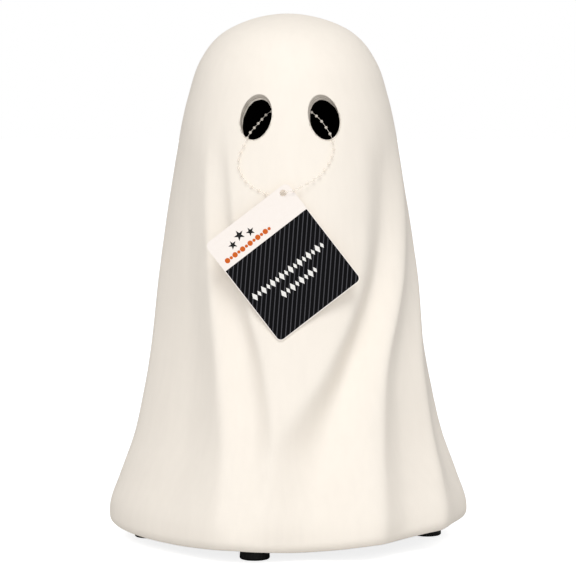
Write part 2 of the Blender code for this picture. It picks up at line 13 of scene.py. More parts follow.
import bmesh
import bpy
import numpy as np
from mathutils import Matrix, Vector


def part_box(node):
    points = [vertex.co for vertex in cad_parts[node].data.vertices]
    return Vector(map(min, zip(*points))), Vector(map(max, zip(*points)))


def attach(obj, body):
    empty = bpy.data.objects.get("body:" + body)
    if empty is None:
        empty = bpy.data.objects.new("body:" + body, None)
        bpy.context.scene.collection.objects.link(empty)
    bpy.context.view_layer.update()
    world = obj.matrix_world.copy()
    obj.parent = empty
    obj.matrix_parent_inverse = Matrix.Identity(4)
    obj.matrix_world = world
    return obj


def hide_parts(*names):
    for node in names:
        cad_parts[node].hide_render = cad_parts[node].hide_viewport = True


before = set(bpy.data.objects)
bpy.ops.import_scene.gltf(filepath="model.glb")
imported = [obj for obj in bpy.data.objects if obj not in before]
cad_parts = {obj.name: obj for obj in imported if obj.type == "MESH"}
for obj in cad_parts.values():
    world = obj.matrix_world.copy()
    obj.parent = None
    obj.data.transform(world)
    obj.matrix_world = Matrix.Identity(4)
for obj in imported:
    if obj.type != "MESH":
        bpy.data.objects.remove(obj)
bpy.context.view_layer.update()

MM = 0.001
BODY = "root"
SEED = 7
LOG = logging.getLogger("ghost")


class Slot(Enum):
    """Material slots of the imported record."""

    PAPER = "paper_mache"
    BOARD = "board"
    RUBBER = "foot_rubber"
    CARD = "tag_card"
    NYLON = "tie_nylon"


class Side(Enum):
    """The two eyes, as the camera sees them."""

    LEFT = -1
    RIGHT = 1


# Colour and node helpers


def linear(hex_code: str) -> tuple[float, float, float, float]:
    """Turn an sRGB colour into Blender's linear colour.

    Args:
        hex_code: The colour as #RRGGBB.

    Returns:
        Linear red, green and blue, with an alpha of 1.
    """
    shares = [int(hex_code[i : i + 2], 16) / 255.0 for i in (1, 3, 5)]
    parts = [s / 12.92 if s <= 0.04045 else ((s + 0.055) / 1.055) ** 2.4 for s in shares]
    return (*parts, 1.0)


def fill(tree: bpy.types.NodeTree, node: bpy.types.Node, inputs: dict) -> None:
    """Fill or link a node's inputs.

    Args:
        tree: The node's tree.
        node: The node.
        inputs: Input name or place, and either a value or the output socket to link from.
    """
    for name, value in inputs.items():
        if isinstance(value, bpy.types.NodeSocket):
            tree.links.new(value, node.inputs[name])
        else:
            node.inputs[name].default_value = value


def add_node(
    tree: bpy.types.NodeTree, kind: str, inputs: dict | None = None, **settings: object
) -> bpy.types.Node:
    """Add a node with its settings, and fill or link its inputs.

    Args:
        tree: The node tree to add to.
        kind: Blender's type name of the node.
        inputs: Input name or place, and either a value or the output socket to link from.
        **settings: Properties of the node.

    Returns:
        The new node.
    """
    node = tree.nodes.new(kind)
    for name, value in settings.items():
        setattr(node, name, value)
    fill(tree, node, inputs or {})
    return node


def calc(tree: bpy.types.NodeTree, operation: str, *values: object) -> bpy.types.NodeSocket:
    """Add a Math node for an operation on values or sockets, and return its output."""
    return add_node(tree, "ShaderNodeMath", dict(enumerate(values)), operation=operation).outputs[0]


def noise(
    tree: bpy.types.NodeTree,
    place: bpy.types.NodeSocket,
    size: float,
    detail: float,
    roughness: float = 0.5,
) -> bpy.types.NodeSocket:
    """Add a noise pattern of a size in metres, and return its value from 0 to 1."""
    inputs = {"Vector": place, "Scale": 1.0 / size, "Detail": detail, "Roughness": roughness}
    return add_node(tree, "ShaderNodeTexNoise", inputs).outputs["Fac"]


def spread(
    tree: bpy.types.NodeTree, value: bpy.types.NodeSocket, low: float, high: float
) -> bpy.types.NodeSocket:
    """Add a node that takes low to 0 and high to 1, and return its output."""
    inputs = {"Value": value, "From Min": low, "From Max": high}
    return add_node(tree, "ShaderNodeMapRange", inputs).outputs[0]


def blend(
    tree: bpy.types.NodeTree, share: bpy.types.NodeSocket, start: str, end: str
) -> bpy.types.NodeSocket:
    """Add a mix from one sRGB colour to another, and return its output."""
    inputs = {"Factor": share, "A": linear(start), "B": linear(end)}
    return add_node(tree, "ShaderNodeMix", inputs, data_type="RGBA").outputs["Result"]


def relief(
    tree: bpy.types.NodeTree,
    height: bpy.types.NodeSocket,
    strength: float,
    distance: float,
    under: dict | None = None,
) -> bpy.types.NodeSocket:
    """Add relief from a pattern, a distance in metres high, and return its normal."""
    inputs = {"Height": height, **(under or {}), "Strength": strength, "Distance": distance}
    return add_node(tree, "ShaderNodeBump", inputs).outputs["Normal"]


def new_material(name: str) -> tuple[bpy.types.Material, bpy.types.NodeTree, bpy.types.Node]:
    """Make an empty material with a Principled shader on its output.

    Args:
        name: The finish's name.

    Returns:
        The material, its node tree and its shader.
    """
    material = bpy.data.materials.new(name)
    material.use_nodes = True
    tree = material.node_tree
    tree.nodes.clear()
    shader = add_node(tree, "ShaderNodeBsdfPrincipled")
    add_node(tree, "ShaderNodeOutputMaterial", {"Surface": shader.outputs["BSDF"]})
    return material, tree, shader


# Finishes


@dataclass(frozen=True)
class ChalkPaint:
    """Matt chalk emulsion brushed on paper mache: no gloss, soft blotches, a fine paper tooth."""

    pale: str = "#FBF3E8"
    shade: str = "#F8F0E5"
    roughness: float = 0.88
    specular: float = 0.25
    blotch: float = 38.0 * MM
    stroke: float = 4.0 * MM
    lump: float = 9.0 * MM
    lump_height: float = 0.6 * MM
    tooth: float = 1.6 * MM
    tooth_height: float = 0.15 * MM
    strength: float = 0.12

    def make(self) -> bpy.types.Material:
        """Build the material.

        Returns:
            The material.
        """
        material, tree, shader = new_material("chalk_paint_on_paper_mache")
        place = add_node(tree, "ShaderNodeTexCoord").outputs["Object"]
        blotch = noise(tree, place, self.blotch, 4.0, 0.55)
        # The brush went up and down, so its marks are ten times as long as they are wide
        brushed = add_node(tree, "ShaderNodeMapping", {"Vector": place, "Scale": (1.0, 1.0, 0.1)})
        stroke = noise(tree, brushed.outputs["Vector"], self.stroke, 3.0)
        share = spread(tree, calc(tree, "ADD", blotch, stroke), 0.7, 1.3)
        lump = noise(tree, place, self.lump, 5.0, 0.6)
        tooth = noise(tree, place, self.tooth, 3.0, 0.7)
        soft = relief(tree, lump, self.strength, self.lump_height)
        fine = relief(tree, tooth, self.strength, self.tooth_height, {"Normal": soft})
        look = {"Base Color": blend(tree, share, self.pale, self.shade), "Normal": fine}
        fill(tree, shader, {**look, "Roughness": self.roughness, "Specular IOR Level": self.specular})
        return material


@dataclass(frozen=True)
class PulpEdge:
    """Bare cut paper mache: grey glued layers, seen end on, rough as torn newsprint."""

    light: str = "#F3EBE0"
    dark: str = "#BBB2A6"
    layer: float = 0.7 * MM
    waver: float = 4.0 * MM
    waver_height: float = 1.6 * MM
    strength: float = 0.6
    height: float = 0.4 * MM
    roughness: float = 0.95
    specular: float = 0.15

    def make(self) -> bpy.types.Material:
        """Build the material.

        Returns:
            The material.
        """
        material, tree, shader = new_material("cut_paper_pulp")
        depth = add_node(tree, "ShaderNodeAttribute", attribute_name="depth_mm").outputs["Fac"]
        place = add_node(tree, "ShaderNodeTexCoord").outputs["Object"]
        waver = noise(tree, place, self.waver, 3.0)
        moved = calc(tree, "MULTIPLY_ADD", waver, self.waver_height / MM, depth)
        inputs = {"W": moved, "Scale": 1.0 / (self.layer / MM), "Detail": 1.0}
        layers = add_node(tree, "ShaderNodeTexNoise", inputs, noise_dimensions="1D").outputs["Fac"]
        color = blend(tree, spread(tree, layers, 0.38, 0.62), self.dark, self.light)
        look = {"Base Color": color, "Normal": relief(tree, layers, self.strength, self.height)}
        fill(tree, shader, {**look, "Roughness": self.roughness, "Specular IOR Level": self.specular})
        return material


@dataclass(frozen=True)
class PinstripedInk:
    """Black offset ink with fine grey pinstripes, printed on coated card: a thin satin film."""

    black: str = "#0A0A0C"
    stripe: str = "#4C4C50"
    pitch: float = 2.3 * MM
    line: float = 0.45 * MM
    angle: float = 48.0
    roughness: float = 0.5
    specular: float = 0.03

    def make(self) -> bpy.types.Material:
        """Build the material.

        Returns:
            The material.
        """
        material, tree, shader = new_material("pinstriped_offset_ink")
        place = add_node(tree, "ShaderNodeUVMap", uv_map="card").outputs["UV"]
        turn = (0.0, 0.0, math.radians(90.0 - self.angle))
        turned = add_node(tree, "ShaderNodeMapping", {"Vector": place, "Rotation": turn})
        across = add_node(tree, "ShaderNodeSeparateXYZ", {0: turned.outputs["Vector"]}).outputs["X"]
        wrapped = calc(tree, "WRAP", across, self.pitch / 2.0, -self.pitch / 2.0)
        share = spread(tree, calc(tree, "ABSOLUTE", wrapped), self.line * 0.3, self.line * 0.7)
        look = {"Base Color": blend(tree, share, self.stripe, self.black)}
        fill(tree, shader, {**look, "Roughness": self.roughness, "Specular IOR Level": self.specular})
        return material


@dataclass(frozen=True)
class PlainFinish:
    """A finish of two close colours, mixed by a fine pattern that may also give relief.

    Attributes:
        name: The real material.
        color: The first colour.
        other: The second colour.
        size: Size of the pattern.
        detail: Number of finer patterns in it.
        roughness: 0 for a mirror, 1 for matt.
        specular: Level of the highlights.
        strength: Share of the relief that shows.
        height: Height of the relief.
        stretch: Scale of the pattern along each axis, or None.
        ends: Values of the pattern at which each colour is pure, or None.
        refraction: Index of refraction.
        alpha: 1 where nothing shows through.
        painted_glow: Painted light: how strongly the finish glows in its own colour, standing in for
            light scattered inside it.
    """

    name: str
    color: str
    other: str
    size: float
    detail: float
    roughness: float
    specular: float = 0.5
    strength: float = 0.0
    height: float = 0.0
    stretch: tuple | None = None
    ends: tuple | None = None
    refraction: float = 1.5
    alpha: float = 1.0
    painted_glow: float = 0.0

    def make(self) -> bpy.types.Material:
        """Build the material.

        Returns:
            The material.
        """
        material, tree, shader = new_material(self.name)
        place = add_node(tree, "ShaderNodeTexCoord").outputs["Object"]
        if self.stretch:
            inputs = {"Vector": place, "Scale": self.stretch}
            place = add_node(tree, "ShaderNodeMapping", inputs).outputs["Vector"]
        pattern = noise(tree, place, self.size, self.detail)
        share = spread(tree, pattern, *self.ends) if self.ends else pattern
        look = {"Base Color": blend(tree, share, self.color, self.other)}
        if self.strength:
            look["Normal"] = relief(tree, pattern, self.strength, self.height)
        # Painted light: the finish glows faintly in its own colour
        if self.painted_glow:
            look["Emission Color"] = look["Base Color"]
            look["Emission Strength"] = self.painted_glow
        look.update({"Roughness": self.roughness, "Specular IOR Level": self.specular})
        fill(tree, shader, {**look, "IOR": self.refraction, "Alpha": self.alpha})
        return material


# Painted shade: the inside of the shell is painted black to stand in for the dark of its unlit hollow,
# so the eyes look empty
BLACK_PAINTED_SHADE = PlainFinish(
    "black_painted_shade", "#0B0A0A", "#161514", 5.0 * MM, 4.0, 0.95, 0.1, 0.4, 0.5 * MM
)

# Pressed, sawn and stained: a flat brown black with paler fibres, three times as long as wide
STAINED_FIBREBOARD = PlainFinish(
    "stained_fibreboard",
    "#1E1A17",
    "#3B332C",
    1.2 * MM,
    5.0,
    0.85,
    strength=0.3,
    height=0.2 * MM,
    stretch=(1.0, 0.3, 1.0),
    ends=(0.45, 0.7),
)

# Black rubber from a spark-eroded mould: a soft grey sheen at its edge, and a very fine grain
MOULDED_RUBBER = PlainFinish(
    "moulded_rubber", "#070706", "#0D0C0B", 0.8 * MM, 3.0, 0.6, 0.2, 0.25, 0.1 * MM
)

# White and clay coated: smooth and faintly satin, with a hint of fibre
COATED_CARD = PlainFinish(
    "coated_card", "#F7EFE9", "#F3EAE2", 1.5 * MM, 4.0, 0.45, 0.5, 0.05, 0.05 * MM
)

# Spot colours of offset ink on card: flat, even and satin
WHITE_INK, ORANGE_INK, BLACK_INK = (
    PlainFinish(f"{name}_spot_ink", color, other, 0.6 * MM, 2.0, 0.42, 0.1)
    for name, color, other in (
        ("white", "#F4F2EE", "#E9E7E3"),
        ("orange", "#D4651F", "#CB5E1A"),
        ("black", "#0E0E0E", "#151515"),
    )
)

# Milky and translucent, with small bright highlights, and a faint painted glow that stands in for
# light scattered inside the nylon
NATURAL_NYLON = PlainFinish(
    "natural_nylon",
    "#F6EEE3",
    "#EFE7DC",
    3.0 * MM,
    2.0,
    0.3,
    refraction=1.53,
    alpha=0.4,
    painted_glow=0.12,
)


# The body's form


def smooth_through(stations: tuple, places: np.ndarray | float) -> np.ndarray:
    """Values on the smooth curve through (place, value) stations in rising order.

    Args:
        stations: The (place, value) pairs.
        places: Where the curve is read.

    Returns:
        One value for each place.
    """
    knots = np.array([station[0] for station in stations])
    values = np.array([station[1] for station in stations])
    places = np.clip(places, knots[0], knots[-1])
    steps = np.diff(knots)
    rates = np.diff(values) / steps
    inner = (rates[:-1] * steps[1:] + rates[1:] * steps[:-1]) / (steps[:-1] + steps[1:])
    slopes = np.concatenate(([rates[0]], inner, [rates[-1]]))
    i = np.clip(np.searchsorted(knots, places) - 1, 0, len(steps) - 1)
    t = (places - knots[i]) / steps[i]
    rise = t * t * (3.0 - 2.0 * t)
    bend = (t - 1.0) ** 2 * t * slopes[i] + t * t * (t - 1.0) * slopes[i + 1]
    return values[i] + rise * (values[i + 1] - values[i]) + bend * steps[i]


@dataclass(frozen=True)
class Valley:
    """A fold of the skirt, between two ridges.

    Attributes:
        left: Name of the ridge on its left.
        right: Name of the ridge on its right.
        bottom: Place of its bottom between the two.
        softness: How far the crests of its ridges are rounded.
        roundness: 1, or 2 where its sides ease into the ridges.
        shares: Share of the full depth at each level.
    """

    left: str
    right: str
    bottom: float
    softness: float
    roundness: int
    shares: tuple


# Azimuth of each ridge at the levels, from the hem up
RIDGES = {
    "left_side": (-84, -82, -81, -85, -90, -92),
    "left": (-22, -23, -29, -36, -43, -48),
    "belly_left": (-12, -6, -10, -21, -29, -36),
    "belly_right": (-18, -11, 14, 32, 38, 44),
    "right": (30, 36, 44, 62, 78, 86),
    "right_side": (56, 67, 72, 85, 95, 100),
    "right_back": (88, 92, 100, 110, 118, 124),
    "back_right": (150, 150, 152, 154, 156, 158),
    "back_left": (194, 196, 196, 198, 198, 200),
    "left_back": (238, 238, 238, 236, 234, 232),
}

VALLEYS = (
    Valley("left_side", "left", 0.6, 0.1, 1, (0.75, 0.95, 0.85, 0.6, 0.3, 0.0)),
    Valley("left", "belly_left", 0.6, 0.12, 1, (0.0, 0.45, 0.65, 0.45, 0.2, 0.0)),
    Valley("belly_right", "right", 0.5, 0.1, 2, (1.15, 1.3, 1.15, 0.75, 0.4, 0.0)),
    Valley("right", "right_side", 0.45, 0.08, 1, (0.7, 0.75, 0.55, 0.25, 0.05, 0.0)),
    Valley("right_side", "right_back", 0.5, 0.1, 1, (0.4, 0.4, 0.2, 0.05, 0.0, 0.0)),
    Valley("right_back", "back_right", 0.45, 0.1, 1, (0.6, 0.8, 0.6, 0.3, 0.1, 0.0)),
    Valley("back_right", "back_left", 0.5, 0.1, 1, (0.4, 0.55, 0.45, 0.25, 0.1, 0.0)),
    Valley("back_left", "left_back", 0.5, 0.1, 1, (0.4, 0.55, 0.45, 0.25, 0.1, 0.0)),
    Valley("left_back", "left_side", 0.5, 0.1, 1, (0.4, 0.45, 0.35, 0.2, 0.05, 0.0)),
)


@dataclass(frozen=True)
class GhostForm:
    """Outline, folds and walls of the paper body, with the same sizes as the solids.

    Attributes:
        crown: Height of the top.
        dome: Height of the dome above the shoulder.
        shoulder_radius: Radius at the dome's foot.
        hem_radius: Radius at the hem, without folds.
        hem: Height of the hem where nothing lifts it.
        lip: Radius that rounds the hem's outer edge.
        hem_lift: How far the hem rises in the middle of its lifted stretch.
        hem_lift_azimuth: Middle of that stretch, in degrees.
        hem_lift_width: Half width of that stretch, in degrees.
        hem_sink: Share of a fold's depth by which the hem hangs lower there.
        wall: Thickness of the paper.
        hem_wall: Its thickness at the foot, around the board.
        fold_depth: Depth of a fold whose share is 1.
        fold_curve: How round the bottom of a fold is.
        hem_softness: How much rounder the ridges are at the hem.
        hem_soft_level: Level at which that ends.
        fold_levels: Levels of the ridges and the shares, from the hem to the shoulder.
        fade_start: Level at which the folds start to fade.
        fade_end: Level above which there are none.
        skirt_outline: Levels and shares of the flare, without folds.
        dome_outline: Drops below the crown and radii, as shares of the dome's.
    """

    crown: float = 287.0 * MM
    dome: float = 45.0 * MM
    shoulder_radius: float = 54.6 * MM
    hem_radius: float = 100.0 * MM
    hem: float = 7.0 * MM
    lip: float = 6.0 * MM
    hem_lift: float = 3.5 * MM
    hem_lift_azimuth: float = 62.0
    hem_lift_width: float = 26.0
    hem_sink: float = 0.22
    wall: float = 4.5 * MM
    hem_wall: float = 8.0 * MM
    fold_depth: float = 10.0 * MM
    fold_curve: float = 1.8
    hem_softness: float = 0.1
    hem_soft_level: float = 0.2
    fold_levels: tuple = (0.0, 0.2, 0.4, 0.6, 0.8, 1.0)
    fade_start: float = 0.82
    fade_end: float = 0.97
    skirt_outline: tuple = (
        (0.0, 1.0),
        (0.05, 0.995),
        (0.12, 0.869),
        (0.205, 0.708),
        (0.333, 0.557),
        (0.607, 0.356),
        (0.859, 0.15),
        (1.0, 0.0),
    )
    dome_outline: tuple = ((0.0, 0.0), (0.222, 0.639), (0.556, 0.872), (1.0, 1.0))

    @property
    def shoulder(self) -> float:
        """Height of the dome's foot."""
        return self.crown - self.dome

    @cached_property
    def outline(self) -> tuple:
        """Heights and squared radii of the body without folds, from the hem to the crown.

        Returns:
            Pairs of a height and a squared radius.
        """
        span = self.shoulder - self.hem
        spread = self.hem_radius - self.shoulder_radius
        skirt = [
            (self.hem + share * span, (self.shoulder_radius + flare * spread) ** 2)
            for share, flare in self.skirt_outline
        ]
        top = [
            (self.crown - drop * self.dome, (share * self.shoulder_radius) ** 2)
            for drop, share in reversed(self.dome_outline[:-1])
        ]
        return tuple(skirt + top)

    def folded_in(self, azimuth: np.ndarray | float, height: np.ndarray | float) -> np.ndarray:
        """How far the folds bring the surface in.

        Args:
            azimuth: Azimuths in degrees.
            height: Heights in metres.

        Returns:
            The distances inwards.
        """
        level = (height - self.hem) / (self.shoulder - self.hem)
        fade = np.clip((self.fade_end - level) / (self.fade_end - self.fade_start), 0.0, 1.0)
        ridges = {
            name: smooth_through(tuple(zip(self.fold_levels, azimuths)), level)
            for name, azimuths in RIDGES.items()
        }
        rounder = self.hem_softness * np.maximum(1.0 - level / self.hem_soft_level, 0.0) ** 2
        total = 0.0
        for valley in VALLEYS:
            width = (ridges[valley.right] - ridges[valley.left]) % 360.0
            reach = valley.bottom * width
            away = (azimuth - ridges[valley.left] - reach + 180.0) % 360.0 - 180.0
            share = np.abs(away) / np.where(away < 0.0, reach, width - reach)
            softness = valley.softness + rounder
            under = (1.0 - share**self.fold_curve) / softness
            depth = smooth_through(tuple(zip(self.fold_levels, valley.shares)), level)
            profile = (softness * np.logaddexp(0.0, under)) ** valley.roundness
            total = total + np.maximum(depth, 0.0) * profile
        return total * self.fold_depth * fade * fade * (3.0 - 2.0 * fade)

    def radius(self, azimuth: np.ndarray | float, height: np.ndarray | float) -> np.ndarray:
        """Distances of the outer surface from the middle axis, at azimuths and heights."""
        plain = np.sqrt(np.maximum(smooth_through(self.outline, height), 0.0))
        return np.where(np.asarray(height) >= self.crown, 0.0, plain - self.folded_in(azimuth, height))

    def at(
        self, azimuth: np.ndarray | float, radius: np.ndarray | float, height: np.ndarray | float
    ) -> np.ndarray:
        """Points at an azimuth, a distance from the middle axis and a height.

        Args:
            azimuth: Azimuths in degrees.
            radius: Distances from the axis.
            height: Heights in metres.

        Returns:
            An array whose last axis is x, y and z.
        """
        angle = np.radians(azimuth)
        x = radius * np.sin(angle)
        return np.stack([x, -radius * np.cos(angle), height + 0.0 * x], axis=-1)

    def normal(self, azimuth: np.ndarray | float, height: np.ndarray | float) -> np.ndarray:
        """Outward directions of the outer surface.

        Args:
            azimuth: Azimuths in degrees.
            height: Heights in metres.

        Returns:
            An array of unit vectors.
        """
        lift = 0.5 * MM
        swing = 0.5
        turn = self.radius(azimuth + swing, height) - self.radius(azimuth - swing, height)
        turn = turn / math.radians(2.0 * swing)
        above = self.radius(azimuth, height + lift) ** 2
        below = self.radius(azimuth, height - lift) ** 2
        rise = (above - below) / (4.0 * lift)
        outward = self.at(azimuth, 1.0, 0.0 * height)
        sideways = self.at(azimuth + 90.0, 1.0, 0.0 * height)
        up = np.array([0.0, 0.0, 1.0])
        radius = self.radius(azimuth, height)
        way = outward * radius[..., None] - sideways * turn[..., None] - up * rise[..., None]
        return way / np.linalg.norm(way, axis=-1, keepdims=True)

    def skin(self, azimuth: np.ndarray, height: np.ndarray, inwards: float = 0.0) -> np.ndarray:
        """Points of the outer surface, moved inwards along its normal.

        Args:
            azimuth: Azimuths in degrees.
            height: Heights in metres.
            inwards: How far the points move.

        Returns:
            The points.
        """
        azimuth, height = np.broadcast_arrays(azimuth, height)
        points = self.at(azimuth, self.radius(azimuth, height), height)
        if inwards:
            points = points - self.normal(azimuth, height) * inwards
        return points

    def on_face(self, x: float, height: float, stand_off: float = 0.0) -> Vector:
        """Point of the front surface seen at x and a height.

        Args:
            x: Place across the front.
            height: Height of the point.
            stand_off: How far outwards the point moves.

        Returns:
            The point.
        """
        azimuth = 0.0
        for _ in range(8):
            share = x / float(self.radius(azimuth, height))
            azimuth = math.degrees(math.asin(max(-0.95, min(0.95, share))))
        return Vector(self.skin(np.array(azimuth), np.array(height), -stand_off))

    def hem_height(self, azimuth: np.ndarray | float) -> np.ndarray:
        """Height of the hem's lower edge at azimuths.

        Args:
            azimuth: Azimuths in degrees.

        Returns:
            The heights.
        """
        away = (azimuth - self.hem_lift_azimuth + 180.0) % 360.0 - 180.0
        lift = self.hem_lift * np.exp(-0.5 * (away / self.hem_lift_width) ** 2)
        return self.hem + lift - self.hem_sink * self.folded_in(azimuth, self.hem)


@dataclass(frozen=True)
class EyeCut:
    """Outline and slant of the eye holes, which were cut with one knife after the paint."""

    form: GhostForm
    width: float = 16.3 * MM
    height: float = 24.4 * MM
    spacing: float = 35.8 * MM
    drop: float = 54.8 * MM
    middle_x: float = 1.0 * MM
    lean: float = 15.7
    sideways: float = 12.0
    downwards: float = 33.0
    points: int = 112

    def centre(self, side: Side) -> tuple[float, float]:
        """Middle of an eye seen from the front, as x and height."""
        return self.middle_x + side.value * self.spacing / 2.0, self.form.crown - self.drop

    def direction(self) -> Vector:
        """Direction in which the knife went in.

        Returns:
            A unit vector.
        """
        across = math.tan(math.radians(self.sideways))
        down = math.tan(math.radians(self.downwards))
        return Vector((across, 1.0, -down)).normalized()

    def outline(self, side: Side) -> list[Vector]:
        """Points round an eye on the outer surface.

        Args:
            side: Which eye.

        Returns:
            The points.
        """
        centre_x, centre_z = self.centre(side)
        lean = math.radians(side.value * self.lean)
        points = []
        for step in range(self.points):
            angle = 2.0 * math.pi * step / self.points
            across = self.width / 2.0 * math.cos(angle)
            along = self.height / 2.0 * math.sin(angle)
            x = centre_x + across * math.cos(lean) - along * math.sin(lean)
            z = centre_z + across * math.sin(lean) + along * math.cos(lean)
            points.append(self.form.on_face(x, z))
        return points

    def wall_reach(self, starts: np.ndarray) -> np.ndarray:
        """How far the knife goes from points of the skin before it is through the wall.

        Args:
            starts: Points of the outer surface.

        Returns:
            The distances along the knife.
        """
        way = np.array(self.direction())
        low = np.zeros(len(starts))
        high = np.full(len(starts), 4.0 * self.form.wall)
        for _ in range(18):
            middle = (low + high) / 2.0
            points = starts + way * middle[:, None]
            azimuth = np.degrees(np.arctan2(points[:, 0], -points[:, 1]))
            height = points[:, 2]
            radial = self.form.at(azimuth, 1.0, 0.0 * height)
            slant = np.sum(self.form.normal(azimuth, height) * radial, axis=1)
            gap = self.form.radius(azimuth, height) - np.hypot(points[:, 0], points[:, 1])
            inside = gap * slant >= self.form.wall
            low = np.where(inside, low, middle)
            high = np.where(inside, middle, high)
        return high


# Mesh helpers


def show(name: str, shape: bpy.types.Mesh | bpy.types.Curve) -> bpy.types.Object:
    """Add an object at the origin for a mesh or a curve.

    Args:
        name: The name of the object and its shape.
        shape: The mesh or curve.

    Returns:
        The object.
    """
    shape.name = name
    item = bpy.data.objects.new(name, shape)
    bpy.context.scene.collection.objects.link(item)
    return item


def add_spline(curve: bpy.types.Curve, points: list | np.ndarray, closed: bool) -> None:
    """Add a line through points to a curve.

    Args:
        curve: The curve.
        points: The points.
        closed: Whether the line's ends meet.
    """
    spline = curve.splines.new("POLY")
    spline.points.add(len(points) - 1)
    for control, point in zip(spline.points, points):
        control.co = (*point, 1.0)
    spline.use_cyclic_u = closed


def plain_mesh(item: bpy.types.Object) -> bpy.types.Mesh:
    """Copy an object's evaluated shape into a plain mesh, and remove the object.

    Args:
        item: The object with its live modifiers.

    Returns:
        The mesh, in the object's own coordinates.
    """
    graph = bpy.context.evaluated_depsgraph_get()
    mesh = bpy.data.meshes.new_from_object(item.evaluated_get(graph))
    bpy.data.objects.remove(item)
    return mesh


def ring_mesh(name: str, rings: np.ndarray, tip: Vector | None, tail: Vector | None) -> bpy.types.Mesh:
    """Mesh through closed rings of points, with a tip and a tail, or joined end to end.

    Args:
        name: The mesh's name.
        rings: Array of rings by points by x, y and z.
        tip: Point before the first ring, or None where the last ring joins the first.
        tail: Point after the last ring.

    Returns:
        The mesh. Its faces follow the rings in order, and the caps come last.
    """
    count, around_count = rings.shape[:2]
    points = [tuple(point) for point in rings.reshape(-1, 3)]
    faces = []
    for i in range(count - 1 if tip is not None else count):
        upper, lower = i * around_count, (i + 1) % count * around_count
        for j in range(around_count):
            k = (j + 1) % around_count
            faces.append((upper + j, lower + j, lower + k, upper + k))
    if tip is not None:
        points += [tuple(tip), tuple(tail)]
        first, last = len(points) - 2, len(points) - 1
        end = (count - 1) * around_count
        for j in range(around_count):
            k = (j + 1) % around_count
            faces.append((first, j, k))
            faces.append((last, end + k, end + j))
    mesh = bpy.data.meshes.new(name)
    mesh.from_pydata(points, [], faces)
    return mesh


def turn_outwards(mesh: bpy.types.Mesh) -> None:
    """Make a closed mesh's faces point outwards.

    Args:
        mesh: The mesh, changed in place.
    """
    work = bmesh.new()
    work.from_mesh(mesh)
    bmesh.ops.recalc_face_normals(work, faces=work.faces)
    work.to_mesh(mesh)
    work.free()


def smooth(mesh: bpy.types.Mesh, sharp_angle: float = 40.0) -> None:
    """Shade a mesh smooth, with the edges over an angle kept sharp."""
    mesh.shade_smooth()
    mesh.set_sharp_from_angle(angle=math.radians(sharp_angle))


def set_tree(item: bpy.types.Object, tree: bpy.types.NodeTree, values: dict) -> None:
    """Put a Geometry Nodes tree on an object and set its named inputs.

    Args:
        item: The object.
        tree: The node tree.
        values: Input name and value.
    """
    modifier = item.modifiers.new(tree.name, "NODES")
    modifier.node_group = tree
    for socket in tree.interface.items_tree:
        if socket.item_type == "SOCKET" and socket.in_out == "INPUT" and socket.name in values:
            modifier[socket.identifier] = values[socket.name]


def new_tree(name: str, inputs: dict) -> tuple[bpy.types.NodeTree, bpy.types.Node]:
    """Start a Geometry Nodes tree.

    Args:
        name: The tree's name.
        inputs: Kind of socket and the names of its inputs, after the geometry.

    Returns:
        The tree and its input node.
    """
    tree = bpy.data.node_groups.new(name, "GeometryNodeTree")
    for kind, labels in {"Geometry": ("Geometry",), **inputs}.items():
        for label in labels:
            tree.interface.new_socket(label, in_out="INPUT", socket_type=f"NodeSocket{kind}")
    tree.interface.new_socket("Geometry", in_out="OUTPUT", socket_type="NodeSocketGeometry")
    return tree, add_node(tree, "NodeGroupInput")


def end_tree(
    tree: bpy.types.NodeTree,
    geometry: bpy.types.NodeSocket,
    finish: bpy.types.NodeSocket,
    where: bpy.types.NodeSocket | bool = True,
) -> None:
    """End a tree in Realize Instances and Set Material.

    Args:
        tree: The tree.
        geometry: What it made.
        finish: The material input.
        where: The faces that take the material.
    """
    real = add_node(tree, "GeometryNodeRealizeInstances", {"Geometry": geometry})
    inputs = {"Geometry": real.outputs["Geometry"], "Selection": where, "Material": finish}
    dressed = add_node(tree, "GeometryNodeSetMaterial", inputs)
    add_node(tree, "NodeGroupOutput", {"Geometry": dressed.outputs["Geometry"]})


def place_piece(item: bpy.types.Object, slot: Slot, *nodes: str) -> None:
    """Make a finished piece ride on the body and hide the solids that it stands for.

    Args:
        item: The piece.
        slot: The material slot in the record; not used.
        *nodes: CAD nodes that it stands for.
    """
    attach(item, BODY)
    if nodes:
        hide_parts(*nodes)
    LOG.info("%s: %d faces", item.name, len(item.data.polygons))


# The paper shell


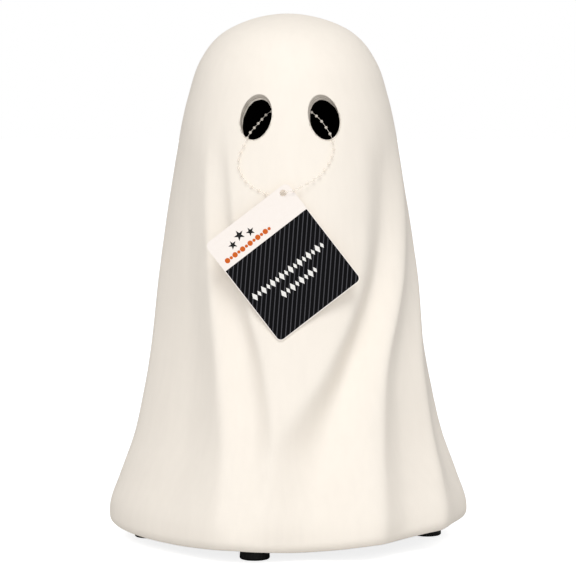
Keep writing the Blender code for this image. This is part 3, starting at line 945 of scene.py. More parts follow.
@dataclass
class PaperShell:
    """The one-piece hollow shell with its uneven paper skin, and the rims of its eyes."""

    form: GhostForm
    cut: EyeCut
    columns: int = 288
    dome_rows: int = 34
    skirt_rows: int = 150
    lip_rows: int = 8
    inner_rows: int = 44
    seat_height: float = 12.0 * MM
    board_top: float = 15.3 * MM
    lump_size: float = 26.0 * MM
    lump_height: float = 0.5 * MM
    wrinkle_size: float = 7.0 * MM
    wrinkle_height: float = 0.09 * MM
    rim_layers: int = 14
    rim_step: float = 0.28 * MM
    rim_ragged: float = 0.05 * MM
    rim_flare: float = 0.25 * MM
    rim_tuck: float = 0.05 * MM
    rim_back: float = 0.6 * MM

    def outer_rings(self) -> np.ndarray:
        """Rings from under the crown to the hem's lower edge.

        Returns:
            An array of rings, points and coordinates.
        """
        form = self.form
        azimuth = np.linspace(0.0, 360.0, self.columns, endpoint=False)
        rings = []
        for row in range(1, self.dome_rows + 1):
            height = form.shoulder + form.dome * math.cos(math.pi / 2.0 * row / self.dome_rows)
            rings.append(form.skin(azimuth, np.full_like(azimuth, height)))
        lip_top = form.hem_height(azimuth) + form.lip
        for row in range(1, self.skirt_rows + 1):
            height = form.shoulder + row / self.skirt_rows * (lip_top - form.shoulder)
            rings.append(form.skin(azimuth, height))
        for row in range(1, self.lip_rows + 1):
            angle = math.pi / 2.0 * row / self.lip_rows
            radius = form.radius(azimuth, lip_top) - form.lip * (1.0 - math.cos(angle))
            rings.append(form.at(azimuth, radius, lip_top - form.lip * math.sin(angle)))
        return np.array(rings)

    def inner_rings(self) -> np.ndarray:
        """Rings of the hollow, from the seat's foot up to under the crown.

        Returns:
            An array of rings, points and coordinates.
        """
        form = self.form
        azimuth = np.linspace(0.0, 360.0, self.columns, endpoint=False)
        seat = form.radius(azimuth, self.seat_height) - form.hem_wall
        rings = [form.at(azimuth, seat, form.hem_height(azimuth))]
        rings.append(form.at(azimuth, seat, self.board_top))
        low = self.board_top + 2.0 * form.hem_wall
        dome = self.dome_rows // 2
        for row in range(self.inner_rows + 1):
            height = low + row / self.inner_rows * (form.shoulder - low)
            rings.append(form.skin(azimuth, np.full_like(azimuth, height), form.wall))
        for row in range(dome - 1, 0, -1):
            height = form.shoulder + form.dome * math.cos(math.pi / 2.0 * row / dome)
            rings.append(form.skin(azimuth, np.full_like(azimuth, height), form.wall))
        return np.array(rings)

    def relief_tree(self) -> bpy.types.NodeTree:
        """Tree that makes the skin uneven, as layered paper is, and leaves the hollow alone.

        Returns:
            The tree.
        """
        sizes = ("Lump size", "Lump height", "Wrinkle size", "Wrinkle height", "Seed")
        tree, given = new_tree("paper_relief", {"Float": sizes, "Material": ("Finish",)})
        place = add_node(tree, "GeometryNodeInputPosition").outputs["Position"]
        parts = []
        for kind in ("Lump", "Wrinkle"):
            scale = calc(tree, "DIVIDE", 1.0, given.outputs[f"{kind} size"])
            inputs = {"Vector": place, "W": given.outputs["Seed"], "Scale": scale, "Detail": 2.0}
            pattern = add_node(tree, "ShaderNodeTexNoise", inputs, noise_dimensions="4D")
            centred = calc(tree, "SUBTRACT", pattern.outputs["Fac"], 0.5)
            parts.append(calc(tree, "MULTIPLY", centred, given.outputs[f"{kind} height"]))
        skin, painted = (
            add_node(tree, "GeometryNodeInputNamedAttribute", {"Name": name}, data_type=kind)
            for name, kind in (("skin", "FLOAT"), ("painted", "BOOLEAN"))
        )
        lift = calc(tree, "MULTIPLY", calc(tree, "ADD", *parts), skin.outputs["Attribute"])
        way = add_node(tree, "GeometryNodeInputNormal").outputs["Normal"]
        offset = add_node(tree, "ShaderNodeVectorMath", {0: way, "Scale": lift}, operation="SCALE")
        inputs = {"Geometry": given.outputs["Geometry"], "Offset": offset.outputs["Vector"]}
        moved = add_node(tree, "GeometryNodeSetPosition", inputs).outputs["Geometry"]
        end_tree(tree, moved, given.outputs["Finish"], painted.outputs["Attribute"])
        return tree

    def cutter(self, side: Side, finish: bpy.types.Material) -> bpy.types.Object:
        """The plug that cuts an eye, which leaves its own finish on the cut.

        Args:
            side: Which eye.
            finish: The finish of the cut wall.

        Returns:
            The plug's object.
        """
        outline = self.cut.outline(side)
        way = self.cut.direction()
        outside = [point - way * self.form.wall for point in outline]
        inside = [point + way * 3.0 * self.form.wall for point in outline]
        rings = np.array([[tuple(p) for p in outside], [tuple(p) for p in inside]])
        tip = sum(outside, Vector()) / len(outline)
        tail = sum(inside, Vector()) / len(outline)
        mesh = ring_mesh(f"eye_plug_{side.name.lower()}", rings, tip, tail)
        mesh.materials.append(finish)
        turn_outwards(mesh)
        return show(mesh.name, mesh)

    def build_body(
        self, paint: bpy.types.Material, black: bpy.types.Material, pulp: bpy.types.Material
    ) -> None:
        """Build the shell: form, uneven skin, then the two eyes.

        Args:
            paint: Finish of the outside.
            black: Finish of the hollow, black as painted shade.
            pulp: Finish of the cut walls.
        """
        outer = self.outer_rings()
        rings = np.concatenate([outer, self.inner_rings()])
        crown = Vector((0.0, 0.0, self.form.crown))
        ceiling = Vector((0.0, 0.0, self.form.crown - self.form.wall))
        mesh = ring_mesh("shell_form", rings, crown, ceiling)
        # The hollow takes the black painted shade, and the outer faces take the cream paint further on
        mesh.materials.append(black)
        skin = np.zeros(len(mesh.vertices), dtype=np.float32)
        skin[: len(outer) * self.columns] = 1.0
        skin[-2] = 1.0
        mesh.attributes.new("skin", "FLOAT", "POINT").data.foreach_set("value", skin)
        painted = np.zeros(len(mesh.polygons), dtype=bool)
        painted[: len(outer) * self.columns] = True
        painted[-2 * self.columns :: 2] = True
        mesh.attributes.new("painted", "BOOLEAN", "FACE").data.foreach_set("value", painted)
        turn_outwards(mesh)
        item = show("shell_form", mesh)
        set_tree(
            item,
            self.relief_tree(),
            {
                "Lump size": self.lump_size,
                "Lump height": self.lump_height,
                "Wrinkle size": self.wrinkle_size,
                "Wrinkle height": self.wrinkle_height,
                "Seed": float(SEED),
                "Finish": paint,
            },
        )
        shell = show("shell_uncut", plain_mesh(item))
        plugs = [self.cutter(side, pulp) for side in Side]
        for plug in plugs:
            modifier = shell.modifiers.new(plug.name, "BOOLEAN")
            modifier.operation = "DIFFERENCE"
            modifier.solver = "EXACT"
            modifier.material_mode = "TRANSFER"
            modifier.object = plug
        body = plain_mesh(shell)
        for plug in plugs:
            bpy.data.objects.remove(plug)
        smooth(body)
        place_piece(show("paper_body", body), Slot.PAPER, "paper_shell")

    def build_rim(self, side: Side, pulp: bpy.types.Material) -> None:
        """Build the ragged layered wall of one eye, which lines the cut.

        Args:
            side: Which eye.
            pulp: Finish of the cut paper.
        """
        outline = self.cut.outline(side)
        way = self.cut.direction()
        middle = sum(outline, Vector()) / len(outline)
        layers = self.rim_layers
        rng = np.random.default_rng(SEED + side.value)
        step_in = rng.uniform(0.0, self.rim_step, layers)
        phase = rng.uniform(0.0, 2.0 * math.pi, (layers, 3))
        rings = np.zeros((2 * layers, len(outline), 3))
        depths = np.zeros((2 * layers, len(outline)))
        reaches = self.cut.wall_reach(np.array([tuple(point) for point in outline]))
        for j, start in enumerate(outline):
            reach = float(reaches[j])
            flat = (middle - start) - way * (middle - start).dot(way)
            inwards = flat.normalized()
            turn = 2.0 * math.pi * j / len(outline)
            for i in range(layers):
                share = i / (layers - 1)
                ragged = sum(
                    math.sin(turn * wave + phase[i][k]) for k, wave in enumerate((3, 7, 13))
                )
                proud = step_in[i] + self.rim_ragged * ragged
                # The first layer lies behind the skin, and the rest step out from it
                ease = min(1.0, share * 6.0)
                proud = proud * ease + (self.rim_flare * share if i else -self.rim_tuck)
                spot = start + way * (reach * share)
                rings[i, j] = spot + inwards * proud
                rings[2 * layers - 1 - i, j] = spot - inwards * self.rim_back
                depths[i, j] = depths[2 * layers - 1 - i, j] = reach * share / MM
        mesh = ring_mesh(f"eye_rim_{side.name.lower()}", rings, None, None)
        mesh.materials.append(pulp)
        depth = mesh.attributes.new("depth_mm", "FLOAT", "POINT")
        depth.data.foreach_set("value", depths.reshape(-1).astype(np.float32))
        turn_outwards(mesh)
        smooth(mesh, 60.0)
        place_piece(show(mesh.name, mesh), Slot.PAPER)

    def build(self) -> None:
        """Build and dress the shell and its rims."""
        pulp = PulpEdge().make()
        self.build_body(ChalkPaint().make(), BLACK_PAINTED_SHADE.make(), pulp)
        for side in Side:
            self.build_rim(side, pulp)


# Board and feet


@dataclass
class BaseBoard:
    """The board that closes the shell; its solid is the real shape."""

    node: str = "base_board"

    def build(self) -> None:
        """Dress the board's solid."""
        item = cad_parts[self.node]
        item.data.materials.clear()
        item.data.materials.append(STAINED_FIBREBOARD.make())
        LOG.info("%s: dressed", self.node)


@dataclass
class RubberFeet:
    """Four turned rubber feet with a rounded tread."""

    nodes: tuple = ("foot_front", "foot_right", "foot_back", "foot_left")
    taper: float = 0.6 * MM
    edge: float = 1.0 * MM
    steps: int = 48
    edge_steps: int = 6

    def build_foot(self, node: str, finish: bpy.types.Material) -> None:
        """Build one foot in its solid's box.

        Args:
            node: The solid that it replaces.
            finish: The rubber.
        """
        low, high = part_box(node)
        centre = ((low[0] + high[0]) / 2.0, (low[1] + high[1]) / 2.0)
        radius = (high[0] - low[0]) / 2.0
        profile = [(radius - self.taper - self.edge / 2.0, high[2])]
        profile.append((radius - self.taper, high[2] - self.edge / 2.0))
        profile.append((radius - 0.1 * self.taper, low[2] + 2.0 * self.edge))
        for step in range(self.edge_steps + 1):
            angle = math.pi / 2.0 * step / self.edge_steps
            inset = self.edge * (1.0 - math.cos(angle))
            profile.append((radius - inset, low[2] + self.edge * (1.0 - math.sin(angle))))
        profile.append((radius * 0.35, low[2]))
        angles = np.linspace(0.0, 2.0 * math.pi, self.steps, endpoint=False)
        rings = []
        for reach, height in profile:
            ring = [
                (centre[0] + reach * math.cos(a), centre[1] + reach * math.sin(a), height)
                for a in angles
            ]
            rings.append(ring)
        tip = Vector((*centre, high[2]))
        tail = Vector((*centre, low[2]))
        mesh = ring_mesh(f"rubber_{node}", np.array(rings), tip, tail)
        mesh.materials.append(finish)
        turn_outwards(mesh)
        smooth(mesh, 50.0)
        place_piece(show(mesh.name, mesh), Slot.RUBBER, node)

    def build(self) -> None:
        """Build all feet."""
        rubber = MOULDED_RUBBER.make()
        for node in self.nodes:
            self.build_foot(node, rubber)


# The card tag


@dataclass(frozen=True)
class PrintedRow:
    """A row of one small printed shape on the card.

    Attributes:
        name: The piece's name.
        ink: Its finish.
        shape: Tips, radius to the tips and radius between them.
        start: Place of the first shape, right of and above the card's upper left corner.
        count: Number of shapes.
        pitch: Distance from one to the next.
        arch: How far the row's middle rises.
        every_other: Size of every other shape.
    """

    name: str
    ink: PlainFinish
    shape: tuple
    start: tuple
    count: int
    pitch: float
    arch: float
    every_other: float


LOZENGE = (2, 2.5 * MM, 1.35 * MM)
DOT = (12, 1.45 * MM, 1.4 * MM)
STAR = (5, 2.5 * MM, 1.0 * MM)
ROWS = (
    PrintedRow("white_row_long", WHITE_INK, LOZENGE, (4.4 * MM, -37.6 * MM), 16, 2.95 * MM, 0.0, 0.7),
    PrintedRow("white_row_short", WHITE_INK, LOZENGE, (17.3 * MM, -45.6 * MM), 8, 2.95 * MM, 0.0, 0.7),
    PrintedRow("orange_row", ORANGE_INK, DOT, (4.6 * MM, -13.8 * MM), 12, 2.5 * MM, 0.0, 0.6),
    PrintedRow("black_stars", BLACK_INK, STAR, (11.8 * MM, -9.0 * MM), 3, 5.8 * MM, 2.0 * MM, 1.2),
)


@dataclass
class HangTag:
    """The die-cut card tag, its printed field and its small printed ornaments."""

    form: GhostForm
    cut: EyeCut
    width: float = 54.3 * MM
    height: float = 64.5 * MM
    thickness: float = 0.5 * MM
    corner: float = 3.0 * MM
    hole: float = 3.5 * MM
    hole_in: float = 5.0 * MM
    hole_down: float = 3.5 * MM
    turn: float = 37.7
    hang: float = 39.9 * MM
    hole_x: float = -2.5 * MM
    tie_clearance: float = 0.4 * MM
    bead: float = 1.6 * MM
    touch_gap: float = 0.3 * MM
    band: float = 17.6 * MM
    margin: float = 0.4 * MM
    ink: float = 0.02 * MM
    max_lean: float = 30.0
    corner_steps: int = 12
    hole_points: int = 40
    lean: float = field(init=False, default=0.0)

    def axes(self, lean: float) -> tuple[Vector, Vector, Vector]:
        """Unit axes of the card for a lean: its width, its height and out of its face.

        Args:
            lean: Angle back from upright, in radians.

        Returns:
            The three axes.
        """
        turn = math.radians(self.turn)
        out = Vector((0.0, -math.cos(lean), math.sin(lean)))
        rise = Vector((0.0, math.sin(lean), math.cos(lean)))
        across = Vector((1.0, 0.0, 0.0))
        width = across * math.cos(turn) + rise * math.sin(turn)
        return width, rise * math.cos(turn) - across * math.sin(turn), out

    def hole_centre(self) -> Vector:
        """Centre of the card's hole."""
        stand_off = 2.0 * self.tie_clearance + self.bead + self.thickness / 2.0
        return self.form.on_face(self.hole_x, self.cut.centre(Side.RIGHT)[1] - self.hang, stand_off)

    def edges(self) -> tuple[float, float, float, float]:
        """Card's left, right, bottom and top edges, measured from its hole.

        Returns:
            The four places.
        """
        right = self.hole_in
        top = self.hole_down
        return right - self.width, right, top - self.height, top

    def is_clear(self, lean: float) -> bool:
        """Whether the card's back stays clear of the belly at a lean.

        Args:
            lean: Angle back from upright, in radians.

        Returns:
            True if no point of the back is inside the touching gap.
        """
        width, height, out = self.axes(lean)
        left, right, bottom, top = self.edges()
        back = self.hole_centre() - out * (self.thickness / 2.0)
        steps = 13
        for across in np.linspace(left, right, steps):
            for along in np.linspace(bottom, top, steps):
                point = back + width * float(across) + height * float(along)
                azimuth = math.degrees(math.atan2(point.x, -point.y))
                reach = float(self.form.radius(azimuth, point.z)) + self.touch_gap
                if math.hypot(point.x, point.y) < reach:
                    return False
        return True

    def find_lean(self) -> float:
        """The smallest lean from upright at which the hanging card meets the belly.

        Returns:
            The angle in radians.
        """
        low, high = 0.0, math.radians(self.max_lean)
        for _ in range(14):
            middle = (low + high) / 2.0
            if self.is_clear(middle):
                high = middle
            else:
                low = middle
        return high

    def place(self) -> Matrix:
        """Matrix that takes the card's own frame, at its hole, to the model's frame.

        Returns:
            The matrix.
        """
        width, height, out = self.axes(self.lean)
        turned = Matrix((width, height, out)).transposed().to_4x4()
        return Matrix.Translation(self.hole_centre()) @ turned

    def rounded(self, left: float, right: float, bottom: float, top: float, corners: tuple) -> list:
        """Outline of a rectangle with a radius at each corner.

        Args:
            left: Left edge.
            right: Right edge.
            bottom: Bottom edge.
            top: Top edge.
            corners: Radii at bottom right, top right, top left and bottom left.

        Returns:
            The (x, y) points, anticlockwise.
        """
        signs = ((1, -1, -90.0), (1, 1, 0.0), (-1, 1, 90.0), (-1, -1, 180.0))
        points = []
        for (sx, sy, start), radius in zip(signs, corners):
            x = (right if sx > 0 else left) - sx * radius
            y = (top if sy > 0 else bottom) - sy * radius
            for step in range(self.corner_steps + 1 if radius else 1):
                angle = math.radians(start + 90.0 * step / self.corner_steps)
                points.append((x + radius * math.cos(angle), y + radius * math.sin(angle)))
        return points

    def plate(self, name: str, outlines: list, low: float, high: float) -> bpy.types.Mesh:
        """Closed flat plate in the card's frame, with its own card UV map.

        Args:
            name: The mesh's name.
            outlines: The edge, then any holes.
            low: Back face's height over the card's middle plane.
            high: Front face's height.

        Returns:
            The mesh, still in the card's frame.
        """
        curve = bpy.data.curves.new(name, "CURVE")
        curve.dimensions = "2D"
        curve.fill_mode = "BOTH"
        curve.extrude = (high - low) / 2.0
        for outline in outlines:
            add_spline(curve, [(x, y, 0.0) for x, y in outline], True)
        item = show(name, curve)
        mesh = plain_mesh(item)
        work = bmesh.new()
        work.from_mesh(mesh)
        bmesh.ops.remove_doubles(work, verts=work.verts, dist=0.001 * MM)
        bmesh.ops.recalc_face_normals(work, faces=work.faces)
        layer = work.loops.layers.uv.new("card")
        for face in work.faces:
            for loop in face.loops:
                loop[layer].uv = (loop.vert.co.x, loop.vert.co.y)
        work.to_mesh(mesh)
        work.free()
        mesh.transform(Matrix.Translation((0.0, 0.0, (low + high) / 2.0)))
        return mesh

    def finish_plate(self, mesh: bpy.types.Mesh, finish: bpy.types.Material, *nodes: str) -> None:
        """Dress a plate, put it in its place and attach it to the body.

        Args:
            mesh: The plate, in the card's frame.
            finish: Its material.
            *nodes: CAD nodes that it replaces.
        """
        mesh.materials.clear()
        mesh.materials.append(finish)
        mesh.transform(self.place())
        smooth(mesh, 30.0)
        place_piece(show(mesh.name, mesh), Slot.CARD, *nodes)

    def row_tree(self) -> bpy.types.NodeTree:
        """Tree that repeats a printed shape along a straight or arched row.

        Returns:
            The tree.
        """
        kinds = {"Int": ("Count",), "Float": ("Pitch", "Arch", "Every other"), "Material": ("Finish",)}
        tree, given = new_tree("printed_row", kinds)
        value = given.outputs
        step = add_node(tree, "ShaderNodeCombineXYZ", {"X": value["Pitch"]}).outputs["Vector"]
        line = add_node(tree, "GeometryNodeMeshLine", {"Count": value["Count"], "Offset": step})
        index = add_node(tree, "GeometryNodeInputIndex").outputs["Index"]
        last = calc(tree, "MAXIMUM", calc(tree, "SUBTRACT", value["Count"], 1.0), 1.0)
        half_turn = calc(tree, "MULTIPLY", calc(tree, "DIVIDE", index, last), math.pi)
        rise = calc(tree, "MULTIPLY", calc(tree, "SINE", half_turn), value["Arch"])
        lift = add_node(tree, "ShaderNodeCombineXYZ", {"Y": rise}).outputs["Vector"]
        inputs = {"Geometry": line.outputs["Mesh"], "Offset": lift}
        arched = add_node(tree, "GeometryNodeSetPosition", inputs).outputs["Geometry"]
        inputs = {0: calc(tree, "MODULO", index, 2.0), 2: 1.0, 3: value["Every other"]}
        size = add_node(tree, "ShaderNodeMix", inputs, data_type="FLOAT").outputs[0]
        flat = add_node(tree, "ShaderNodeCombineXYZ", {"X": size, "Y": size, "Z": 1.0})
        inputs = {"Points": arched, "Instance": value["Geometry"], "Scale": flat.outputs["Vector"]}
        shapes = add_node(tree, "GeometryNodeInstanceOnPoints", inputs)
        end_tree(tree, shapes.outputs["Instances"], value["Finish"])
        return tree

    def motif(self, tips: int, outer: float, inner: float) -> bpy.types.Mesh:
        """Thin printed star, diamond or dot in the card's frame, around its own middle.

        Args:
            tips: Number of tips.
            outer: Radius to the tips.
            inner: Radius between them.

        Returns:
            The mesh.
        """
        outline = []
        for k in range(2 * tips):
            angle = math.pi / 2.0 + math.pi * k / tips
            radius = outer if k % 2 == 0 else inner
            outline.append((radius * math.cos(angle), radius * math.sin(angle)))
        front = self.thickness / 2.0 + self.ink
        return self.plate("motif", [outline], front, front + self.ink)

    def print_row(self, row: PrintedRow, tree: bpy.types.NodeTree, ink: bpy.types.Material) -> None:
        """Print one row of shapes on the card.

        Args:
            row: The row.
            tree: The tree that repeats its shape.
            ink: Its finish.
        """
        item = show(row.name, self.motif(*row.shape))
        values = {"Count": row.count, "Pitch": row.pitch, "Arch": row.arch}
        set_tree(item, tree, {**values, "Every other": row.every_other, "Finish": ink})
        mesh = plain_mesh(item)
        left, _, _, top = self.edges()
        start = Matrix.Translation((left + row.start[0], top + row.start[1], 0.0))
        mesh.transform(self.place() @ start)
        place_piece(show(row.name, mesh), Slot.CARD)

    def build(self) -> None:
        """Build and dress the card, its field and its ornaments."""
        self.lean = self.find_lean()
        LOG.info("card leans %.2f degrees", math.degrees(self.lean))
        left, right, bottom, top = self.edges()
        front = self.thickness / 2.0
        edge = self.rounded(left, right, bottom, top, (self.corner,) * 4)
        count = self.hole_points
        angles = [-2.0 * math.pi * k / count for k in range(count)]
        hole = [(self.hole / 2.0 * math.cos(a), self.hole / 2.0 * math.sin(a)) for a in angles]
        card = self.plate("card_tag", [edge, hole], -front, front)
        self.finish_plate(card, COATED_CARD.make(), "hang_tag")
        m = self.margin
        inner = self.corner - m
        corners = (inner, 0.0, 0.0, inner)
        field_edge = self.rounded(left + m, right - m, bottom + m, top - self.band, corners)
        ink_field = self.plate("printed_field", [field_edge], front, front + self.ink)
        self.finish_plate(ink_field, PinstripedInk().make())
        inks = {ink: ink.make() for ink in (WHITE_INK, ORANGE_INK, BLACK_INK)}
        tree = self.row_tree()
        for row in ROWS:
            self.print_row(row, tree, inks[row.ink])


# The beaded tie


@dataclass
class BeadedTie:
    """The beaded nylon tie: a closed loop of beads, its lock and the short tail."""

    form: GhostForm
    cut: EyeCut
    tag: HangTag
    bead: float = 1.6 * MM
    neck: float = 0.3 * MM
    pitch: float = 4.25 * MM
    clearance: float = 0.4 * MM
    lock_diameter: float = 4.4 * MM
    lock_length: float = 5.0 * MM
    lock_depth: float = 15.0 * MM
    lock_rise: float = 5.0 * MM
    lock_point: int = 13
    tail: float = 11.0 * MM
    tail_steps: int = 16
    tail_beads: int = 4
    slope: float = 13.0
    run: float = 6.2 * MM
    route_steps: int = 40

    def beside_eye(self, side: Side, dx: float, dz: float, depth: float) -> Vector:
        """A point off an eye's middle by half widths, half heights and walls of depth.

        Args:
            side: Which eye.
            dx: Half widths to the right.
            dz: Half heights up.
            depth: Walls inwards.

        Returns:
            The point.
        """
        x, z = self.cut.centre(side)
        skin = self.form.on_face(x + dx * self.cut.width / 2.0, z + dz * self.cut.height / 2.0)
        return skin + Vector((0.0, depth * self.form.wall, 0.0))

    def beside_hole(self, dx: float, dz: float, stand_off: float) -> Vector:
        """A point on the face off the tag's hole, by shares of how far the tag hangs.

        Args:
            dx: Share to the right.
            dz: Share up.
            stand_off: How far outwards the point moves.

        Returns:
            The point.
        """
        hole = self.tag.hole_centre()
        hang = self.tag.hang
        return self.form.on_face(hole.x + dx * hang, hole.z + dz * hang, stand_off)

    def route(self) -> list[Vector]:
        """Points that the tie passes, starting at the tag's hole and going to the right.

        Returns:
            The points, in order around the loop.
        """
        hole = self.tag.hole_centre()
        out = self.tag.axes(self.tag.lean)[2]
        slope = math.radians(self.slope)
        across = Vector((math.cos(slope), 0.0, math.sin(slope)))
        off_card = self.bead / 2.0 + self.tag.thickness / 2.0 + self.clearance
        on_face = self.bead / 2.0 + self.clearance
        step_in = across * (0.4 * self.tag.hole) + out * off_card
        beside = across * self.run
        lock = self.beside_eye(Side.RIGHT, 0.0, 0.0, 0.0)
        lock = Vector((self.cut.middle_x, lock.y + self.lock_depth, lock.z + self.lock_rise))
        right = [
            (0.601, -1.1, -0.333),
            (0.479, -0.836, -0.289),
            (0.196, -0.508, 0.178),
            (-0.0982, -0.23, 0.578),
            (-0.454, 0.0164, 1.02),
            (-0.834, 0.197, 1.82),
        ]
        left = [
            (0.81, 0.148, 3.33),
            (0.368, -0.131, 2.36),
            (0.123, -0.311, 1.6),
            (-0.123, -0.484, 0.933),
            (-0.356, -0.664, 0.311),
            (-0.54, -0.869, -0.289),
            (-0.736, -1.15, -0.356),
        ]
        return [
            hole,
            hole + step_in,
            hole + beside + out * off_card,
            self.beside_hole(0.434, 0.19, on_face + 0.6 * self.bead),
            self.beside_hole(0.574, 0.336, on_face),
            self.beside_hole(0.657, 0.526, on_face),
            *[self.beside_eye(Side.RIGHT, *place) for place in right],
            lock + Vector((1.0, -0.4, -0.24)) * self.lock_length,
            lock,
            lock + Vector((-1.1, 0.12, -0.24)) * self.lock_length,
            *[self.beside_eye(Side.LEFT, *place) for place in left],
            self.beside_hole(-0.566, 0.476, on_face),
            self.beside_hole(-0.571, 0.288, on_face),
            self.beside_hole(-0.439, 0.1, on_face),
            hole - beside - out * off_card,
            hole - step_in,
        ]

    def closed_line(self, points: list[Vector]) -> np.ndarray:
        """Smooth closed line through points, in short steps.

        Args:
            points: The points.

        Returns:
            The line's points.
        """
        count = len(points)
        line = []
        for i in range(count):
            before, start, end, after = (points[(i + k - 1) % count] for k in range(4))
            span = (end - start).length
            leave = (end - before) * (span / ((start - before).length + span))
            arrive = (after - start) * (span / (span + (after - end).length))
            for step in range(self.route_steps):
                t = step / self.route_steps
                place = start.lerp(end, t * t * (3.0 - 2.0 * t))
                line.append(place + leave * (t * (1.0 - t) ** 2) - arrive * (t * t * (1.0 - t)))
        return np.array([tuple(point) for point in line])

    def strand_tree(self) -> bpy.types.NodeTree:
        """Tree that threads beads on a strand along a curve.

        Returns:
            The tree.
        """
        kinds = {"Int": ("Beads",), "Float": ("Bead radius", "Neck radius"), "Material": ("Finish",)}
        tree, given = new_tree("beaded_strand", kinds)
        value = given.outputs
        line = value["Geometry"]
        inputs = {"Curve": line, "Count": value["Beads"]}
        spots = add_node(tree, "GeometryNodeCurveToPoints", inputs, mode="COUNT").outputs
        inputs = {"Segments": 14, "Rings": 9, "Radius": value["Bead radius"]}
        ball = add_node(tree, "GeometryNodeMeshUVSphere", inputs).outputs["Mesh"]
        inputs = {"Points": spots["Points"], "Instance": ball, "Rotation": spots["Rotation"]}
        beads = add_node(tree, "GeometryNodeInstanceOnPoints", inputs).outputs["Instances"]
        inputs = {"Resolution": 8, "Radius": value["Neck radius"]}
        ring = add_node(tree, "GeometryNodeCurvePrimitiveCircle", inputs).outputs["Curve"]
        inputs = {"Curve": line, "Profile Curve": ring, "Fill Caps": True}
        strand = add_node(tree, "GeometryNodeCurveToMesh", inputs).outputs["Mesh"]
        both = add_node(tree, "GeometryNodeJoinGeometry", {"Geometry": strand})
        tree.links.new(beads, both.inputs["Geometry"])
        inputs = {"Geometry": both.outputs["Geometry"]}
        shaded = add_node(tree, "GeometryNodeSetShadeSmooth", inputs).outputs["Geometry"]
        end_tree(tree, shaded, value["Finish"])
        return tree

    def strand(
        self,
        name: str,
        tree: bpy.types.NodeTree,
        points: np.ndarray,
        closed: bool,
        beads: int,
        finish: bpy.types.Material,
    ) -> bpy.types.Mesh:
        """Beads and strand along a line.

        Args:
            name: The mesh's name.
            tree: The strand's tree.
            points: The line.
            closed: Whether its ends meet.
            beads: Number of beads.
            finish: The nylon.

        Returns:
            The mesh.
        """
        curve = bpy.data.curves.new(name, "CURVE")
        curve.dimensions = "3D"
        add_spline(curve, points, closed)
        item = show(name, curve)
        set_tree(
            item,
            tree,
            {
                "Beads": beads,
                "Bead radius": self.bead / 2.0,
                "Neck radius": self.neck / 2.0,
                "Finish": finish,
            },
        )
        return plain_mesh(item)

    def lock_mesh(self, centre: Vector, way: Vector, finish: bpy.types.Material) -> bpy.types.Mesh:
        """The tie's barrel lock, a little waisted, around a point of the strand.

        Args:
            centre: Its middle.
            way: Direction of the strand.
            finish: The nylon.

        Returns:
            The mesh.
        """
        radius = self.lock_diameter / 2.0
        half = self.lock_length / 2.0
        end = ((0.72, -1.0), (0.95, -0.86), (1.0, -0.5))
        other_end = [(reach, -along) for reach, along in reversed(end)]
        angles = np.linspace(0.0, 2.0 * math.pi, 24, endpoint=False)
        ring = [(math.cos(a), math.sin(a)) for a in angles]
        rings = []
        for reach, along in (*end, (0.93, 0.0), *other_end):
            rings.append([(radius * reach * x, radius * reach * y, half * along) for x, y in ring])
        mesh = ring_mesh("tie_lock", np.array(rings), Vector((0, 0, -half)), Vector((0, 0, half)))
        mesh.materials.append(finish)
        turn_outwards(mesh)
        smooth(mesh, 50.0)
        turned = way.to_track_quat("Z", "Y").to_matrix().to_4x4()
        mesh.transform(Matrix.Translation(centre) @ turned)
        return mesh

    def build(self) -> None:
        """Build and dress the tie, its tail and its lock."""
        nylon = NATURAL_NYLON.make()
        tree = self.strand_tree()
        line = self.closed_line(self.route())
        gaps = np.linalg.norm(np.roll(line, -1, axis=0) - line, axis=1)
        places = np.concatenate(([0.0], np.cumsum(gaps)))
        total = float(places[-1])
        beads = round(total / self.pitch)
        pitch = total / beads
        closed = np.vstack([line, line[:1]])

        def along(distance: np.ndarray | float) -> np.ndarray:
            """Points of the loop at distances along it."""
            distance = np.mod(distance, total)
            return np.stack([np.interp(distance, places, closed[:, k]) for k in range(3)], axis=-1)

        steps = beads * 8
        loop = along(pitch / 2.0 + np.arange(steps) * total / steps)
        item = show("tie_loop", self.strand("tie_loop", tree, loop, True, beads, nylon))
        place_piece(item, Slot.NYLON, "beaded_tie")

        middle = float(places[self.lock_point * self.route_steps])
        centre = Vector(along(middle))
        way = (Vector(along(middle + self.lock_length / 4.0)) - centre).normalized()
        lock = self.lock_mesh(centre, way, nylon)
        place_piece(show("tie_lock", lock), Slot.NYLON)
        inward = Vector((0.0, 1.0, -0.3)).normalized()
        heading = (way + inward * 0.8).normalized()
        start = centre + inward * (self.lock_diameter / 4.0)
        shares = [k / self.tail_steps for k in range(self.tail_steps + 1)]
        tail = np.array([tuple(start + heading * (self.tail * share)) for share in shares])
        piece = self.strand("tie_tail", tree, tail, False, self.tail_beads, nylon)
        place_piece(show("tie_tail", piece), Slot.NYLON)


# The studio


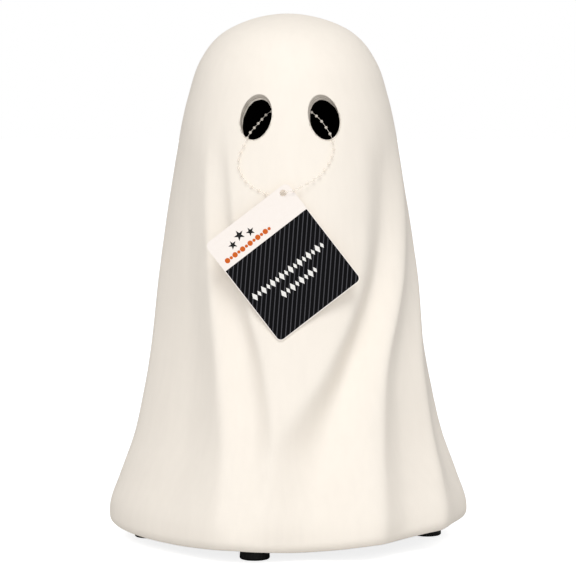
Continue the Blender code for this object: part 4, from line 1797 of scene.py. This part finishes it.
@dataclass
class Studio:
    """Pale floor, white surroundings, two large soft lamps in front, and the camera."""

    camera_place: tuple = (0.0, -1.5, 0.27261)
    pitch: float = 4.862
    lens: float = 171.07
    shift_y: float = -0.0262
    floor_half: float = 6.0
    ambient: float = 0.48
    aim: tuple = (0.0, 0.0, 0.14)
    floor_glow: float = 0.82
    lamp_distance: float = 2.6
    lamp_size: float = 1.3
    lamps: tuple = (("top_lamp", 52.0, 25.8), ("front_lamp", 8.0, 13.8))

    def build_camera(self) -> None:
        """Set the camera at the photograph's place and angle."""
        data = bpy.data.cameras.new("camera")
        data.lens = self.lens
        data.sensor_width = 36.0
        data.shift_y = self.shift_y
        data.clip_start = 0.05
        camera = bpy.data.objects.new("camera", data)
        camera.location = self.camera_place
        camera.rotation_euler = (math.radians(90.0 - self.pitch), 0.0, 0.0)
        bpy.context.scene.collection.objects.link(camera)
        bpy.context.scene.camera = camera

    def build_floor(self) -> None:
        """Lay the pale floor, which looks white and keeps the shadow."""
        half = self.floor_half
        mesh = bpy.data.meshes.new("floor")
        corners = [(-half, -half, 0.0), (half, -half, 0.0), (half, half, 0.0), (-half, half, 0.0)]
        mesh.from_pydata(corners, [], [(0, 1, 2, 3)])
        material = bpy.data.materials.new("white_floor")
        material.use_nodes = True
        tree = material.node_tree
        tree.nodes.clear()
        rays = add_node(tree, "ShaderNodeLightPath").outputs
        matt = add_node(tree, "ShaderNodeBsdfDiffuse", {"Color": (0.8, 0.8, 0.8, 1.0)}).outputs["BSDF"]
        seen = calc(tree, "MULTIPLY", rays["Is Camera Ray"], self.floor_glow)
        inputs = {"Color": (1.0, 1.0, 1.0, 1.0), "Strength": seen}
        glow = add_node(tree, "ShaderNodeEmission", inputs).outputs["Emission"]
        both = add_node(tree, "ShaderNodeAddShader", {0: matt, 1: glow}).outputs["Shader"]
        add_node(tree, "ShaderNodeOutputMaterial", {"Surface": both})
        mesh.materials.append(material)
        show("floor", mesh)

    def build_light(self) -> None:
        """Light the white surroundings and the two soft lamps."""
        world = bpy.data.worlds.new("white_surroundings")
        world.use_nodes = True
        tree = world.node_tree
        tree.nodes.clear()
        rays = add_node(tree, "ShaderNodeLightPath").outputs
        seen = calc(tree, "MAXIMUM", rays["Is Camera Ray"], rays["Is Glossy Ray"])
        through = calc(tree, "MAXIMUM", seen, rays["Is Transmission Ray"])
        inputs = {0: through, 2: self.ambient, 3: 1.0}
        level = add_node(tree, "ShaderNodeMix", inputs, data_type="FLOAT").outputs[0]
        inputs = {"Color": (1.0, 1.0, 1.0, 1.0), "Strength": level}
        sky = add_node(tree, "ShaderNodeBackground", inputs).outputs["Background"]
        add_node(tree, "ShaderNodeOutputWorld", {"Surface": sky})
        bpy.context.scene.world = world

        for name, elevation, power in self.lamps:
            lamp = bpy.data.lights.new(name, "AREA")
            lamp.shape = "DISK"
            lamp.size = self.lamp_size
            lamp.energy = power
            item = bpy.data.objects.new(name, lamp)
            rise = math.radians(elevation)
            way = Vector((0.0, math.cos(rise), -math.sin(rise)))
            item.location = Vector(self.aim) - way * self.lamp_distance
            item.rotation_euler = way.to_track_quat("-Z", "Y").to_euler()
            bpy.context.scene.collection.objects.link(item)

    def build(self) -> None:
        """Build the studio."""
        self.build_camera()
        self.build_floor()
        self.build_light()
        bpy.context.scene.view_settings.view_transform = "Standard"


def main() -> None:
    """Build every sub-assembly in order."""
    logging.basicConfig(level=logging.INFO, format="%(name)s: %(message)s")
    form = GhostForm()
    cut = EyeCut(form)
    Studio().build()
    PaperShell(form, cut).build()
    BaseBoard().build()
    RubberFeet().build()
    tag = HangTag(form, cut)
    tag.build()
    BeadedTie(form, cut, tag).build()


if __name__ == "__main__":
    main()
